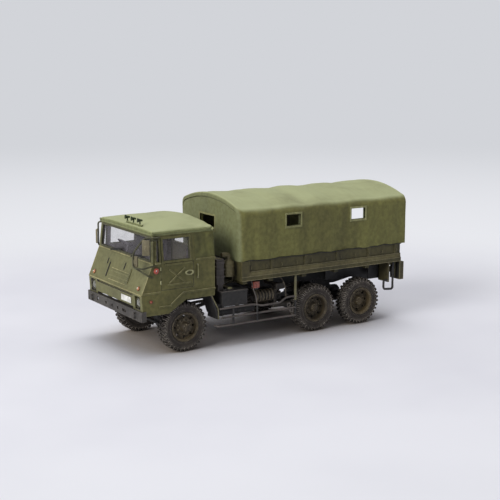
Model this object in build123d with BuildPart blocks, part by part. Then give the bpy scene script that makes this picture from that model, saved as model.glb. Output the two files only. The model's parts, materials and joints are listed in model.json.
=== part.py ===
from build123d import *
import os
from math import atan2, cos, degrees, hypot, pi, radians, sin

# A static 1:72 model of a six-wheeled army cargo truck with a covered bed, in millimetres.
# The front faces -Y and the truck's left is +X. The floor under the wheels is z = 0.
# The model is laid out from its front axle: d is the distance behind that axle.
# Most round work has flat sides, as many as its size needs, so that the model stays light.

os.makedirs("parts", exist_ok=True)

# Flat sides of the wheels, of round work, of small round work and of bars
wheel_sides = 16
round_sides = 12
small_sides = 8
bar_sides = 6

# Wheels and axles
wheel_radius = 7.08
mid_axle_d = 44.03
bogie_spread = 16.94
rear_axle_d = mid_axle_d + bogie_spread
bogie_d = mid_axle_d + bogie_spread / 2
front_half_track = 13.45
rear_half_track = 14.25
tyre_width = 3.9
tread_width = 3.5
bead_width = 3.3
bead_radius = 3.75
bead_land = 0.25
bead_clearance = 0.03
flange_gap = 0.1
sidewall_radius = 5.4
shoulder_drop = 0.15
lug_height = 0.6
lug_count = 26
lug_length = 0.8
flange_radius = 4.15
flange_thickness = 0.28
rim_wall = 0.3
disc_thickness = 0.5
hub_radius = 1.55
hub_skirt = 0.9
cap_radius = 1.1
hub_inset = 0.35
front_hub_reach = 3.3
rear_hub_reach = 1.6
hand_hole_count = 6
hand_hole_radius = 0.42
hand_hole_circle = 2.95
stub_radius = 0.8
stub_clearance = 0.05
axle_tube_radius = 1.05
drum_radius = 2.7
drum_width = 1.1
drum_gap = 0.15
diff_radius = 2.5
diff_offset = 1.6
diff_half_depth = 1.3
nose_radius = 1.0
nose_reach = 0.8

# Frame
rail_half_width = 5.9
rail_height = 2.8
rail_flange = 1.1
rail_wall = 0.5
rail_top_z = 16.0
rail_front_d = -12.7
rail_rear_inset = 1.2
crossmember_depth = 1.2
crossmember_margin = 0.3

# Front bumper
bumper_half_width = 17.2
bumper_front_d = -14.4
bumper_bottom_z = 10.6
bumper_height = 2.77
bumper_depth = 1.5
bumper_face = 0.45
bumper_lip = 0.5
bumper_return = 0.28
hook_x = 13.6
hook_half_height = 0.7
hook_reach = 0.8
hook_radius = 0.22

# Cab
cab_half_width = 16.87
cab_wall = 0.9
cab_top_half_width = 16.1
nose_foot_d = -13.8
nose_d = -14.1
screen_base_d = -10.6
screen_top_d = -10.0
cab_rear_d = 8.7
skirt_z = 12.0
crease_z = 17.84
belt_z = 26.2
header_z = 33.6
cab_rear_foot_z = 15.4
arch_top_z = 15.3
arch_front_d = -0.5
arch_foot_d = -5.85
floor_z = 16.2
floor_thickness = 0.8
roof_overhang = 0.35
roof_side_overhang = 0.15
roof_edge_height = 1.3
roof_front_crown = 1.5
roof_rear_crown = 2.9
roof_skin = 0.8
door_front_d = -8.2
door_rear_d = 2.0
door_foot_z = 18.6
window_front_d = -7.4
window_rear_d = 0.9
window_foot_z = 26.6
window_top_z = 32.7
quarter_front_d = -9.45
quarter_rear_d = -8.55
window_frame_width = 0.35
seam_width = 0.22
seam_depth = 0.18
bead_height = 0.22
bead_breadth = 0.36
glass_thickness = 0.3
glass_inset = 0.3
screen_margin = 0.55
valance_half_width = 11.4
valance_foot_z = 14.05
valance_top_z = 16.9
lamp_inner_x = 12.6
lamp_outer_x = 15.7
lamp_foot_z = 13.6
lamp_top_z = 17.3
lamp_depth = 1.6
headlamp_radius = 1.4

# Bed and canopy
bed_half_width = 16.9
bed_front_d = 17.2
rear_overhang = 14.43
bed_rear_d = rear_axle_d + rear_overhang
bed_floor_z = 18.3
bed_floor_thickness = 1.1
bed_top_z = 23.86
board_thickness = 0.9
stake_proud = 0.6
stake_width = 1.0
stake_pitch = 11.73
stake_front_gap = 10.6
stake_rear_gap = 1.9
post_width = 2.6
bed_rail_height = 1.2
moulding_rise = 2.1
moulding_height = 0.4
bearer_height = 1.1
bearer_width = 1.4
bearer_inset = 0.6
deck_height = 0.3
deck_margin = 0.3
canopy_side_gap = 0.3
canopy_front_gap = 0.3
canopy_rear_overhang = 1.93
canopy_half_width = bed_half_width + canopy_side_gap
canopy_front_d = bed_front_d - canopy_front_gap
canopy_rear_d = bed_rear_d + canopy_rear_overhang
canopy_eave_z = 36.7
canopy_crown_z = 41.9
canopy_shoulder = 2.2
canopy_bevel = 1.2
canopy_wall = 1.2
hoop_thickness = 0.8
hoop_count = 4
hoop_end_gap = 5.0
rail_rear_d = bed_rear_d - rail_rear_inset

# Clearance between pieces that sit close without touching
seat_gap = 0.1

# Mirrors reach furthest sideways and their stay furthest forward, so they set the ends of the box
mirror_gap = 0.06
stay_radius = 0.25
stay_front_d = -15.0

model_front_d = stay_front_d - stay_radius
front_axle_y = -(model_front_d + canopy_rear_d) / 2


def side_plane(x):
    """Seen from the left: local x is d, local y is height, and it faces +X."""
    return Plane(origin=(x, front_axle_y, 0), x_dir=(0, 1, 0), z_dir=(1, 0, 0))


def cross_plane(d):
    """Seen from the front: local x is X, local y is height, and it faces forward."""
    return Plane(origin=(0, front_axle_y + d, 0), x_dir=(1, 0, 0), z_dir=(0, -1, 0))


def at(x, d, z):
    """A point of the model from its place behind the front axle."""
    return (x, front_axle_y + d, z)


def slab(x, d, z, mode=Mode.ADD):
    """A cuboid between two limits in each direction."""
    with Locations(at((x[0] + x[1]) / 2, (d[0] + d[1]) / 2, (z[0] + z[1]) / 2)):
        Box(abs(x[1] - x[0]), abs(d[1] - d[0]), abs(z[1] - z[0]), mode=mode)


def prism(plane, points, amount, mode=Mode.ADD):
    """A straight extrusion of a polygon."""
    with BuildSketch(plane) as face:
        Polygon(*points, align=None)
    extrude(face.sketch, amount=amount, mode=mode)


def drum(plane, amount, radius, sides, mode=Mode.ADD):
    """A flat-sided cylinder that rises from a plane."""
    with BuildSketch(plane) as face:
        RegularPolygon(radius, sides, major_radius=False, rotation=180 / sides)
    extrude(face.sketch, amount=amount, mode=mode)


def cone(plane, rings, sides, mode=Mode.ADD):
    """A flat-sided body through rings, each given as a height over the plane and a radius."""
    loops = []
    for height, radius in rings:
        corner_radius = radius / cos(pi / sides)
        angles = [2 * pi * (side + 0.5) / sides for side in range(sides)]
        corners = [(corner_radius * cos(angle), corner_radius * sin(angle), height) for angle in angles]
        loops.append([plane.from_local_coords(corner) for corner in corners])
    faces = [Face(Wire.make_polygon(loops[0])), Face(Wire.make_polygon(loops[-1]))]
    for low, high in zip(loops, loops[1:]):
        for side in range(sides):
            after = (side + 1) % sides
            faces.append(Face(Wire.make_polygon((low[side], low[after], high[after], high[side]))))
    add(Solid(Shell(faces)), mode=mode)


def bar(start, end, radius, sides=bar_sides, mode=Mode.ADD):
    """A straight flat-sided bar between two points."""
    run = Vector(*end) - Vector(*start)
    drum(Plane(origin=start, z_dir=run), run.length, radius, sides, mode)


def bent_bar(points, radius, sides=bar_sides):
    """A flat-sided bar along straight runs with mitred corners."""
    with BuildLine() as route:
        Polyline(*points)
    with BuildSketch(Plane(origin=points[0], z_dir=route.line % 0)) as section:
        RegularPolygon(radius, sides, major_radius=False, rotation=180 / sides)
    sweep(section.sketch, path=route.line, transition=Transition.RIGHT)


def cut_corner_box(x, z, cut):
    """Outline of a box seen from the front, between limits in X and height, with its corners cut."""
    return (
        (x[0] + cut, z[0]),
        (x[1] - cut, z[0]),
        (x[1], z[0] + cut),
        (x[1], z[1] - cut),
        (x[1] - cut, z[1]),
        (x[0] + cut, z[1]),
        (x[0], z[1] - cut),
        (x[0], z[0] + cut),
    )


def finish(builder, label):
    """Name a finished piece and write it."""
    builder.part.label = label
    export_step(builder.part, f"parts/{label}.step")


# Tyre: a tread band with straight lugs, a sidewall on each side that falls in to the bead, and
# the bore for the rim. It is made at the origin with its axle along X.
carcass_radius = wheel_radius - lug_height
tip_half_angle = lug_length / 2 / wheel_radius
# Corners from one lug to the next: angle from the lug's middle, radius
lug_corners = (
    (-tip_half_angle, wheel_radius / cos(tip_half_angle)),
    (tip_half_angle, wheel_radius / cos(tip_half_angle)),
    (pi / lug_count, carcass_radius),
)
tread_outline = []
for lug in range(lug_count):
    for offset, radius in lug_corners:
        angle = 2 * pi * lug / lug_count - pi / 2 + offset
        tread_outline.append((radius * cos(angle), radius * sin(angle)))
with BuildPart() as tyre:
    prism(Plane.YZ.offset(-tread_width / 2), tread_outline, tread_width)
    sidewall_depth = (tyre_width - tread_width) / 2
    dish_depth = (tyre_width - bead_width) / 2
    for turn in (0, 180):
        outward = Plane.YZ.rotated((0, turn, 0))
        shoulder = outward.offset(tread_width / 2)
        cone(shoulder, ((0, carcass_radius - shoulder_drop), (sidewall_depth, sidewall_radius)), wheel_sides)
        bead = outward.offset(bead_width / 2)
        dish = ((0, bead_radius + bead_land), (dish_depth, sidewall_radius))
        cone(bead, dish, wheel_sides, Mode.SUBTRACT)
    drum(Plane.YZ.offset(-bead_width / 2), bead_width, bead_radius, wheel_sides, Mode.SUBTRACT)

# Disc wheel: a barrel in the tyre's bore, a flange, a dished disc with hand holes, and a hub.
# For each kind: how far the hub reaches out, and where the disc's inner face is.
barrel_radius = bead_radius - bead_clearance
flange_seat = bead_width / 2 + flange_gap
barrel_end = flange_seat + flange_thickness
hub_foot = hub_inset - bead_width / 2
stub_end = {"front": front_hub_reach - 1.0, "rear": rear_hub_reach - 0.5}
wheel_kinds = {}
for kind, hub_reach, disc_x in (("front", front_hub_reach, 0.5), ("rear", rear_hub_reach, -0.5)):
    disc_face = disc_x + disc_thickness
    with BuildPart() as wheel:
        drum(Plane.YZ.offset(-barrel_end), 2 * barrel_end, barrel_radius, wheel_sides)
        drum(Plane.YZ.offset(flange_seat), flange_thickness, flange_radius, wheel_sides)
        dish_radius = barrel_radius - rim_wall
        drum(Plane.YZ.offset(disc_face), barrel_end - disc_face, dish_radius, wheel_sides, Mode.SUBTRACT)
        drum(Plane.YZ.offset(-barrel_end), barrel_end + disc_x, dish_radius, wheel_sides, Mode.SUBTRACT)
        hub_rings = (
            (0, hub_radius + hub_skirt),
            (hub_reach - 0.9 - disc_face, hub_radius + 0.1),
            (hub_reach - disc_face, cap_radius),
        )
        cone(Plane.YZ.offset(disc_face), hub_rings, round_sides)
        drum(Plane.YZ.offset(hub_foot), disc_x - hub_foot, hub_radius, round_sides)
        bore_depth = stub_end[kind] + stub_clearance - hub_foot
        drum(Plane.YZ.offset(hub_foot), bore_depth, stub_radius + stub_clearance, round_sides, Mode.SUBTRACT)
        with BuildSketch(Plane.YZ.offset(disc_x)):
            with PolarLocations(hand_hole_circle, hand_hole_count):
                RegularPolygon(hand_hole_radius, 6)
        extrude(amount=disc_thickness, mode=Mode.SUBTRACT)
    wheel_kinds[kind] = wheel.part

# Place the six wheels: name, distance behind the front axle, half track, which disc
wheel_places = (
    ("front", 0.0, front_half_track, "front"),
    ("mid", mid_axle_d, rear_half_track, "rear"),
    ("rear", rear_axle_d, rear_half_track, "rear"),
)
for axle_name, d, half_track, kind in wheel_places:
    for side_name, side, turn in (("left", 1, 0), ("right", -1, 180)):
        place = Location(at(side * half_track, d, wheel_radius), (0, 0, turn))
        with BuildPart() as placed_tyre:
            with Locations(place):
                add(tyre.part)
        finish(placed_tyre, f"tyre_{axle_name}_{side_name}")
        with BuildPart() as placed_wheel:
            with Locations(place):
                add(wheel_kinds[kind])
        finish(placed_wheel, f"wheel_{axle_name}_{side_name}")

# Axles: a tube with a drum at each end, a stub in each wheel and a round housing for the final
# drive, whose nose points at its shaft. The front axle also has knuckles and a tie rod.
cover_reach = 0.7
knuckle_gap = 0.9
knuckle_radius = 0.75
knuckle_half_height = 1.7
tie_rod_d = -2.7
tie_rod_z = wheel_radius - 0.9
tie_rod_radius = 0.3
for axle_name, d, half_track, kind in wheel_places:
    drum_x = half_track - bead_width / 2 + hub_inset - drum_gap - drum_width
    stub_x = half_track + stub_end[kind]
    nose_way = 1 if axle_name == "front" else -1
    with BuildPart() as axle:
        bar(at(-drum_x, d, wheel_radius), at(drum_x, d, wheel_radius), axle_tube_radius)
        for side in (-1, 1):
            outward = Plane(origin=at(side * drum_x, d, wheel_radius), z_dir=(side, 0, 0))
            drum(outward, drum_width, drum_radius, wheel_sides)
            drum(outward, stub_x - drum_x, stub_radius, round_sides)
        cover_d = d - nose_way * diff_half_depth
        housing = Plane(origin=at(diff_offset, cover_d, wheel_radius), z_dir=(0, -nose_way, 0))
        drum(housing, -2 * diff_half_depth, diff_radius, round_sides)
        cone(housing, ((0, diff_radius), (cover_reach, diff_radius / 2)), round_sides)
        nose_end = d + nose_way * (diff_radius + nose_reach)
        bar(at(diff_offset, d, wheel_radius), at(diff_offset, nose_end, wheel_radius), nose_radius, round_sides)
        if axle_name == "front":
            knuckle_x = drum_x - knuckle_gap
            for side in (-1, 1):
                x = side * knuckle_x
                low = wheel_radius - knuckle_half_height
                high = wheel_radius + knuckle_half_height
                bar(at(x, d, low), at(x, d, high), knuckle_radius)
                slab(
                    (x - tie_rod_radius, x + tie_rod_radius),
                    (tie_rod_d, d),
                    (tie_rod_z - tie_rod_radius, tie_rod_z + tie_rod_radius),
                )
            bar(at(-knuckle_x, tie_rod_d, tie_rod_z), at(knuckle_x, tie_rod_d, tie_rod_z), tie_rod_radius)
    finish(axle, f"{axle_name}_axle")

# Frame: two channel rails that face inward, with crossmembers between them
rail_foot_z = rail_top_z - rail_height
rail_inner = rail_half_width - rail_flange
front_crossmember_gap = 2.9
gearbox_crossmember_d = 11.5
tank_crossmember_d = 27.5
bogie_crossmember_gap = 2.03
rear_crossmember_gap = 0.8
crossmember_ds = (
    rail_front_d + front_crossmember_gap,
    gearbox_crossmember_d,
    tank_crossmember_d,
    mid_axle_d - bogie_crossmember_gap,
    bogie_d,
    rear_axle_d + bogie_crossmember_gap,
    rail_rear_d - rear_crossmember_gap,
)
channel = (
    (rail_inner, rail_foot_z),
    (rail_half_width, rail_foot_z),
    (rail_half_width, rail_top_z),
    (rail_inner, rail_top_z),
    (rail_inner, rail_top_z - rail_wall),
    (rail_half_width - rail_wall, rail_top_z - rail_wall),
    (rail_half_width - rail_wall, rail_foot_z + rail_wall),
    (rail_inner, rail_foot_z + rail_wall),
)
spring_x = (rail_inner + rail_half_width) / 2
with BuildPart() as chassis_frame:
    with BuildSketch(cross_plane(rail_front_d)):
        Polygon(*channel, align=None)
        mirror(about=Plane.YZ)
    extrude(amount=rail_front_d - rail_rear_d)
    web_middle = rail_half_width - rail_wall / 2
    for d in crossmember_ds:
        slab(
            (-web_middle, web_middle),
            (d - crossmember_depth / 2, d + crossmember_depth / 2),
            (rail_foot_z + crossmember_margin, rail_top_z - crossmember_margin),
        )
finish(chassis_frame, "chassis_frame")

# Tow pintle on the rear crossmember: a plate, a neck and a forked jaw with an upright pin hole
pintle_z = (rail_foot_z + rail_top_z) / 2
pintle_plate_half = 1.3
pintle_plate_thickness = 0.35
pintle_reach = 2.9
pintle_jaw_length = 1.8
pintle_jaw_half_width = 0.8
pintle_jaw_half_height = 1.0
pintle_mouth_half_height = 0.45
pintle_neck_radius = 0.6
pin_hole_radius = 0.35
pin_hole_gap = 0.8
pintle_plate_d = rail_rear_d - rear_crossmember_gap + crossmember_depth / 2
pintle_end_d = pintle_plate_d + pintle_reach
with BuildPart() as tow_pintle:
    slab(
        (-pintle_plate_half, pintle_plate_half),
        (pintle_plate_d, pintle_plate_d + pintle_plate_thickness),
        (pintle_z - pintle_jaw_half_height, pintle_z + pintle_jaw_half_height),
    )
    jaw_front_d = pintle_end_d - pintle_jaw_length
    bar(at(0, pintle_plate_d, pintle_z), at(0, jaw_front_d, pintle_z), pintle_neck_radius)
    slab(
        (-pintle_jaw_half_width, pintle_jaw_half_width),
        (jaw_front_d, pintle_end_d),
        (pintle_z - pintle_jaw_half_height, pintle_z + pintle_jaw_half_height),
    )
    slab(
        (-pintle_jaw_half_width - 1, pintle_jaw_half_width + 1),
        (jaw_front_d + pintle_plate_thickness, pintle_end_d + 1),
        (pintle_z - pintle_mouth_half_height, pintle_z + pintle_mouth_half_height),
        mode=Mode.SUBTRACT,
    )
    pin_plane = Plane(origin=at(0, pintle_end_d - pin_hole_gap, pintle_z - pintle_jaw_half_height))
    drum(pin_plane, 2 * pintle_jaw_half_height, pin_hole_radius, bar_sides, Mode.SUBTRACT)
finish(tow_pintle, "tow_pintle")

# Leaf springs: front packs hang under the rails, rear packs rest on both rear axles
spring_width = 1.0
leaf_thickness = 0.45
leaf_steps = 4
axle_top_z = wheel_radius + axle_tube_radius


def leaf(centre_d, half_length, steps, middle_z, rise):
    """One pair of leaves: straight runs along a curve that the whole pack shares."""
    shares = [step / leaf_steps for step in range(-steps, steps + 1)]
    low = [(centre_d + share * half_length, middle_z + rise * share * share) for share in shares]
    high = [(d, z + leaf_thickness) for d, z in reversed(low)]
    for side in (-1, 1):
        prism(side_plane(side * spring_x - spring_width / 2), low + high, spring_width)


front_spring_half = 7.0
spring_foot_z = axle_top_z + (leaf_steps - 1) * leaf_thickness
front_rise = rail_foot_z - leaf_thickness - spring_foot_z
with BuildPart() as front_springs:
    for number in range(leaf_steps):
        leaf(0, front_spring_half, leaf_steps - number, spring_foot_z - number * leaf_thickness, front_rise)
finish(front_springs, "front_springs")

saddle_half_length = 1.3
saddle_height = 1.8
rear_leaf_drop = 2.4
rear_leaves = 3
rear_end_gap = 0.05
with BuildPart() as rear_springs:
    rear_middle_z = rail_foot_z - rear_leaf_drop
    rear_rise = axle_top_z + rear_end_gap - rear_middle_z
    for number in range(rear_leaves):
        leaf(bogie_d, bogie_spread / 2, leaf_steps - number, rear_middle_z + number * leaf_thickness, rear_rise)
    for side in (-1, 1):
        x = side * spring_x
        slab(
            (x - spring_width / 2, x + spring_width / 2),
            (bogie_d - saddle_half_length, bogie_d + saddle_half_length),
            (rail_foot_z - saddle_height, rail_foot_z),
        )
finish(rear_springs, "rear_springs")

# Engine and gearbox in one plain block between the rails
engine_half_width = 3.4
engine_foot_z = 10.6
engine_front_d = -7.6
engine_rear_d = 5.0
engine_roof_gap = 0.3
engine_foot_half = 0.6
engine_foot_gap = 1.5
gearbox_half_width = 2.2
gearbox_rear_d = 10.3
gearbox_inset_z = 0.6
with BuildPart() as engine_block:
    slab(
        (-engine_half_width, engine_half_width),
        (engine_front_d, engine_rear_d),
        (engine_foot_z, floor_z - engine_roof_gap),
    )
    slab(
        (-gearbox_half_width, gearbox_half_width),
        (engine_rear_d, gearbox_rear_d),
        (engine_foot_z + gearbox_inset_z, rail_top_z - gearbox_inset_z),
    )
    foot_x = rail_half_width - rail_wall
    for d in (engine_front_d + engine_foot_gap, engine_rear_d - engine_foot_gap):
        slab(
            (-foot_x, foot_x),
            (d - engine_foot_half, d + engine_foot_half),
            (rail_foot_z + rail_wall, rail_foot_z + rail_wall + 0.7),
        )
finish(engine_block, "engine_block")

# Transfer box on its crossbar under the rails, with a shaft to each axle
shaft_radius = 0.5
shaft_gap = 0.2
gearbox_shaft_z = 13.0
transfer_half_width = 2.6
transfer_front_d = 20.6
transfer_rear_d = 25.2
transfer_foot_z = 9.8
transfer_shaft_z = 11.6
output_z = 10.7
crossbar_half_depth = 0.6
crossbar_height = 0.9
transfer_d = (transfer_front_d + transfer_rear_d) / 2
nose_d_reach = diff_radius + nose_reach + shaft_gap
mid_cover_d = mid_axle_d + diff_half_depth + cover_reach + shaft_gap
with BuildPart() as drive_shafts:
    slab(
        (-transfer_half_width, transfer_half_width),
        (transfer_front_d, transfer_rear_d),
        (transfer_foot_z, rail_foot_z),
    )
    slab(
        (-rail_half_width, rail_half_width),
        (transfer_d - crossbar_half_depth, transfer_d + crossbar_half_depth),
        (rail_foot_z - crossbar_height, rail_foot_z),
    )
    gearbox_end = at(0, gearbox_rear_d + shaft_gap, gearbox_shaft_z)
    bar(gearbox_end, at(0, transfer_front_d, transfer_shaft_z), shaft_radius)
    # Shafts to the axles: start d and height, end d
    shafts = (
        (transfer_front_d, output_z, nose_d_reach),
        (transfer_rear_d, output_z, mid_axle_d - nose_d_reach),
        (mid_cover_d, wheel_radius, rear_axle_d - nose_d_reach),
    )
    for start_d, start_z, end_d in shafts:
        bar(at(diff_offset, start_d, start_z), at(diff_offset, end_d, wheel_radius), shaft_radius)
finish(drive_shafts, "drive_shafts")

# Front bumper: a channel with lightening holes, open to the rear, with a tow hook at each end
bumper_top_z = bumper_bottom_z + bumper_height
# Holes across the face: centre x, width, height
bumper_holes = ((-10.7, 1.3, 1.3), (-5.0, 1.0, 1.0), (-1.0, 1.0, 1.0), (2.6, 1.0, 1.0), (6.6, 2.4, 0.9))
bumper_hole_z = 11.95
bumper_hole_cut = 0.3
bumper_arm_half = 0.6
bumper_plate = 0.3
bumper_limits = (-bumper_half_width, bumper_half_width)
bumper_rear_d = bumper_front_d + bumper_depth
with BuildPart() as front_bumper:
    slab(bumper_limits, (bumper_front_d, bumper_front_d + bumper_face), (bumper_bottom_z, bumper_top_z))
    slab(bumper_limits, (bumper_front_d, bumper_rear_d), (bumper_bottom_z, bumper_bottom_z + bumper_lip))
    slab(
        (seat_gap - valance_half_width, valance_half_width - seat_gap),
        (bumper_front_d, bumper_rear_d),
        (bumper_top_z - bumper_lip, bumper_top_z),
    )
    for x, width, height in bumper_holes:
        hole_x = (x - width / 2, x + width / 2)
        hole_z = (bumper_hole_z - height / 2, bumper_hole_z + height / 2)
        hole = cut_corner_box(hole_x, hole_z, bumper_hole_cut * height)
        prism(cross_plane(bumper_front_d + bumper_face), hole, bumper_face, Mode.SUBTRACT)
    for side in (-1, 1):
        slab(
            (side * (bumper_half_width - bumper_return), side * bumper_half_width),
            (bumper_front_d, bumper_rear_d),
            (bumper_bottom_z, bumper_top_z),
        )
        arm = (side * rail_half_width - bumper_arm_half, side * rail_half_width + bumper_arm_half)
        slab(arm, (bumper_front_d + bumper_face, rail_front_d), (bumper_bottom_z, bumper_top_z))
        slab(arm, (rail_front_d - bumper_plate, rail_front_d), (bumper_bottom_z, rail_top_z))
        hook_d = bumper_front_d - hook_reach + hook_radius
        hook_route = [
            at(side * hook_x, bumper_front_d + hook_radius, bumper_hole_z + hook_half_height),
            at(side * hook_x, hook_d, bumper_hole_z + hook_half_height),
            at(side * hook_x, hook_d, bumper_hole_z - hook_half_height),
            at(side * hook_x, bumper_front_d + hook_radius, bumper_hole_z - hook_half_height),
        ]
        bent_bar(hook_route, hook_radius)
finish(front_bumper, "front_bumper")

# Cab: one hollow body, cut where its real panels meet
cab_profile = (
    (nose_foot_d, skirt_z),
    (nose_d, crease_z),
    (screen_base_d, belt_z),
    (screen_top_d, header_z),
    (cab_rear_d, header_z),
    (cab_rear_d, cab_rear_foot_z),
    (arch_front_d, arch_top_z),
    (arch_foot_d, skirt_z),
)
cab_hollow_foot_z = skirt_z - 2
cab_hollow_profile = (
    (nose_foot_d + cab_wall, cab_hollow_foot_z),
    (nose_foot_d + cab_wall, skirt_z),
    (nose_d + cab_wall, crease_z),
    (screen_base_d + cab_wall, belt_z),
    (screen_top_d + cab_wall, header_z),
    (cab_rear_d - cab_wall, header_z),
    (cab_rear_d - cab_wall, cab_hollow_foot_z),
)


def cab_section(inset, foot_z):
    """Outline of the cab from the front, drawn in by a wall or a share of one."""
    low = cab_half_width - inset
    high = cab_top_half_width - inset
    return ((-low, foot_z), (low, foot_z), (low, belt_z), (high, header_z), (-high, header_z), (-low, belt_z))


cab_length = cab_rear_d - nose_d
with BuildPart() as cab_outer:
    prism(side_plane(-cab_half_width), cab_profile, 2 * cab_half_width)
    prism(cross_plane(cab_rear_d), cab_section(0, skirt_z), cab_length, Mode.INTERSECT)
with BuildPart() as cab_core:
    prism(cross_plane(cab_rear_d), cab_section(cab_wall, skirt_z), cab_length)
with BuildPart() as cab_hollow:
    prism(side_plane(-cab_half_width), cab_hollow_profile, 2 * cab_half_width)
with BuildPart() as frame_skin:
    prism(cross_plane(cab_rear_d), cab_section(-bead_height, belt_z), cab_length)
    prism(cross_plane(cab_rear_d), cab_section(seam_depth, belt_z), cab_length, Mode.SUBTRACT)


def opening_outline(front_d, rear_d, lean, grow):
    """A side window from the left, with its front edge leaning back at the top, drawn out by a frame."""
    foot_z = window_foot_z - grow
    top_z = window_top_z + grow
    return (
        (front_d - grow, foot_z),
        (rear_d + grow, foot_z),
        (rear_d + grow, top_z),
        (front_d + lean - grow, top_z),
    )


# Side windows: front edge, rear edge, lean of the front edge
side_windows = ((window_front_d, window_rear_d, 0), (quarter_front_d, quarter_rear_d, 0.3))
# Pressed beads on the door: start and end, each as d and height
door_beads = (
    ((-5.4, 24.1), (-0.8, 20.5)),
    ((-5.4, 20.5), (-0.8, 24.1)),
    ((-6.0, 19.95), (0.8, 19.95)),
    ((-6.8, 25.6), (1.4, 25.6)),
)
# Raised mouldings along the side: start and end, each as d and height
side_mouldings = (
    ((cab_rear_d, 17.45), (-1.2, 17.45)),
    ((-1.2, 17.45), (-4.9, 14.6)),
    ((-13.7, 18.2), (-8.6, 18.2)),
    ((-8.6, 14.1), (-5.2, 14.1)),
    ((3.0, belt_z), (cab_rear_d, belt_z)),
)
# Door handle: a bar in a shallow recess
handle_d = 0.6
handle_z = 22.9
handle_half_length = 0.75
handle_half_height = 0.42
handle_bar_half = 0.12
# Grab bar on two feet behind the door
grab_d = 3.2
grab_foot_z = 21.2
grab_top_z = 24.8
grab_radius = 0.17
grab_stand = 0.5
door_middle = ((door_front_d + door_rear_d) / 2, (door_foot_z + belt_z) / 2)
door_length = door_rear_d - door_front_d
door_height = belt_z - door_foot_z
for side_name, side in (("left", 1), ("right", -1)):
    with BuildPart() as cab_side:
        add(cab_outer.part)
        add(cab_core.part, mode=Mode.SUBTRACT)
        split(bisect_by=Plane.YZ, keep=Keep.TOP if side > 0 else Keep.BOTTOM)
        # Frames round the windows, then the windows themselves
        for front_d, rear_d, lean in side_windows:
            with BuildPart(mode=Mode.PRIVATE) as frame:
                outline = opening_outline(front_d, rear_d, lean, window_frame_width)
                prism(side_plane(0), outline, side * 2 * cab_half_width)
                add(frame_skin.part, mode=Mode.INTERSECT)
            add(frame.part)
        for front_d, rear_d, lean in side_windows:
            outline = opening_outline(front_d, rear_d, lean, 0)
            prism(side_plane(0), outline, side * 2 * cab_half_width, Mode.SUBTRACT)
        with BuildSketch(side_plane(side * cab_half_width)) as door_seam:
            with Locations(door_middle):
                Rectangle(door_length, door_height)
                Rectangle(door_length - 2 * seam_width, door_height - 2 * seam_width, mode=Mode.SUBTRACT)
            with Locations((door_middle[0], belt_z)):
                Rectangle(door_length - 2 * seam_width, 3 * seam_width, mode=Mode.SUBTRACT)
        extrude(door_seam.sketch, amount=-side * seam_depth, mode=Mode.SUBTRACT)
        for start, end in door_beads + side_mouldings:
            run = Vector(*end) - Vector(*start)
            middle = (Vector(*start) + Vector(*end)) / 2
            turn = degrees(atan2(run.Y, run.X))
            with BuildSketch(side_plane(side * (cab_half_width - seam_depth))) as bead:
                with Locations(Location(middle, (0, 0, turn))):
                    Rectangle(run.length + bead_breadth, bead_breadth)
            extrude(bead.sketch, amount=side * (seam_depth + bead_height))
        recess_x = (side * (cab_half_width - seam_depth), side * cab_half_width)
        recess_d = (handle_d - handle_half_length, handle_d + handle_half_length)
        recess_z = (handle_z - handle_half_height, handle_z + handle_half_height)
        slab(recess_x, recess_d, recess_z, Mode.SUBTRACT)
        slab(recess_x, recess_d, (handle_z - handle_bar_half, handle_z + handle_bar_half))
        grab_x = side * (cab_half_width + grab_stand)
        foot_x = side * (cab_half_width - seam_depth)
        grab_route = [
            at(foot_x, grab_d, grab_foot_z),
            at(grab_x, grab_d, grab_foot_z),
            at(grab_x, grab_d, grab_top_z),
            at(foot_x, grab_d, grab_top_z),
        ]
        bent_bar(grab_route, grab_radius)
    finish(cab_side, f"cab_side_{side_name}")

# Side windows: panes that fill the openings, set in from the outer skin
with BuildPart() as side_glass:
    prism(cross_plane(cab_rear_d), cab_section(glass_inset, skirt_z), cab_length)
    prism(cross_plane(cab_rear_d), cab_section(glass_inset + glass_thickness, skirt_z), cab_length, Mode.SUBTRACT)
    with BuildSketch(side_plane(-cab_half_width)) as panes:
        for front_d, rear_d, lean in side_windows:
            Polygon(*opening_outline(front_d, rear_d, lean, 0), align=None)
    extrude(panes.sketch, amount=2 * cab_half_width, mode=Mode.INTERSECT)
finish(side_glass, "side_glass")

# Front of the cab: slope, lamp openings, valance and windscreen opening
screen_side_margin = 0.2
screen_flare = 0.5
screen_half_width = cab_top_half_width - cab_wall - screen_side_margin
screen_outline = (
    (-screen_half_width - screen_flare, belt_z + screen_margin),
    (screen_half_width + screen_flare, belt_z + screen_margin),
    (screen_half_width, header_z - screen_margin),
    (-screen_half_width, header_z - screen_margin),
)
front_depth = 6.0
valance_groove = 0.55
valance_groove_gap = 0.25


def slope_d(z):
    """Distance behind the front axle of the sloping nose at a height."""
    return nose_d + (screen_base_d - nose_d) * (z - crease_z) / (belt_z - crease_z)


slope_plane = Plane(
    origin=at(0, nose_d, crease_z),
    x_dir=(1, 0, 0),
    z_dir=(0, -(belt_z - crease_z), screen_base_d - nose_d),
)
slope_length = hypot(belt_z - crease_z, screen_base_d - nose_d)
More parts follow.
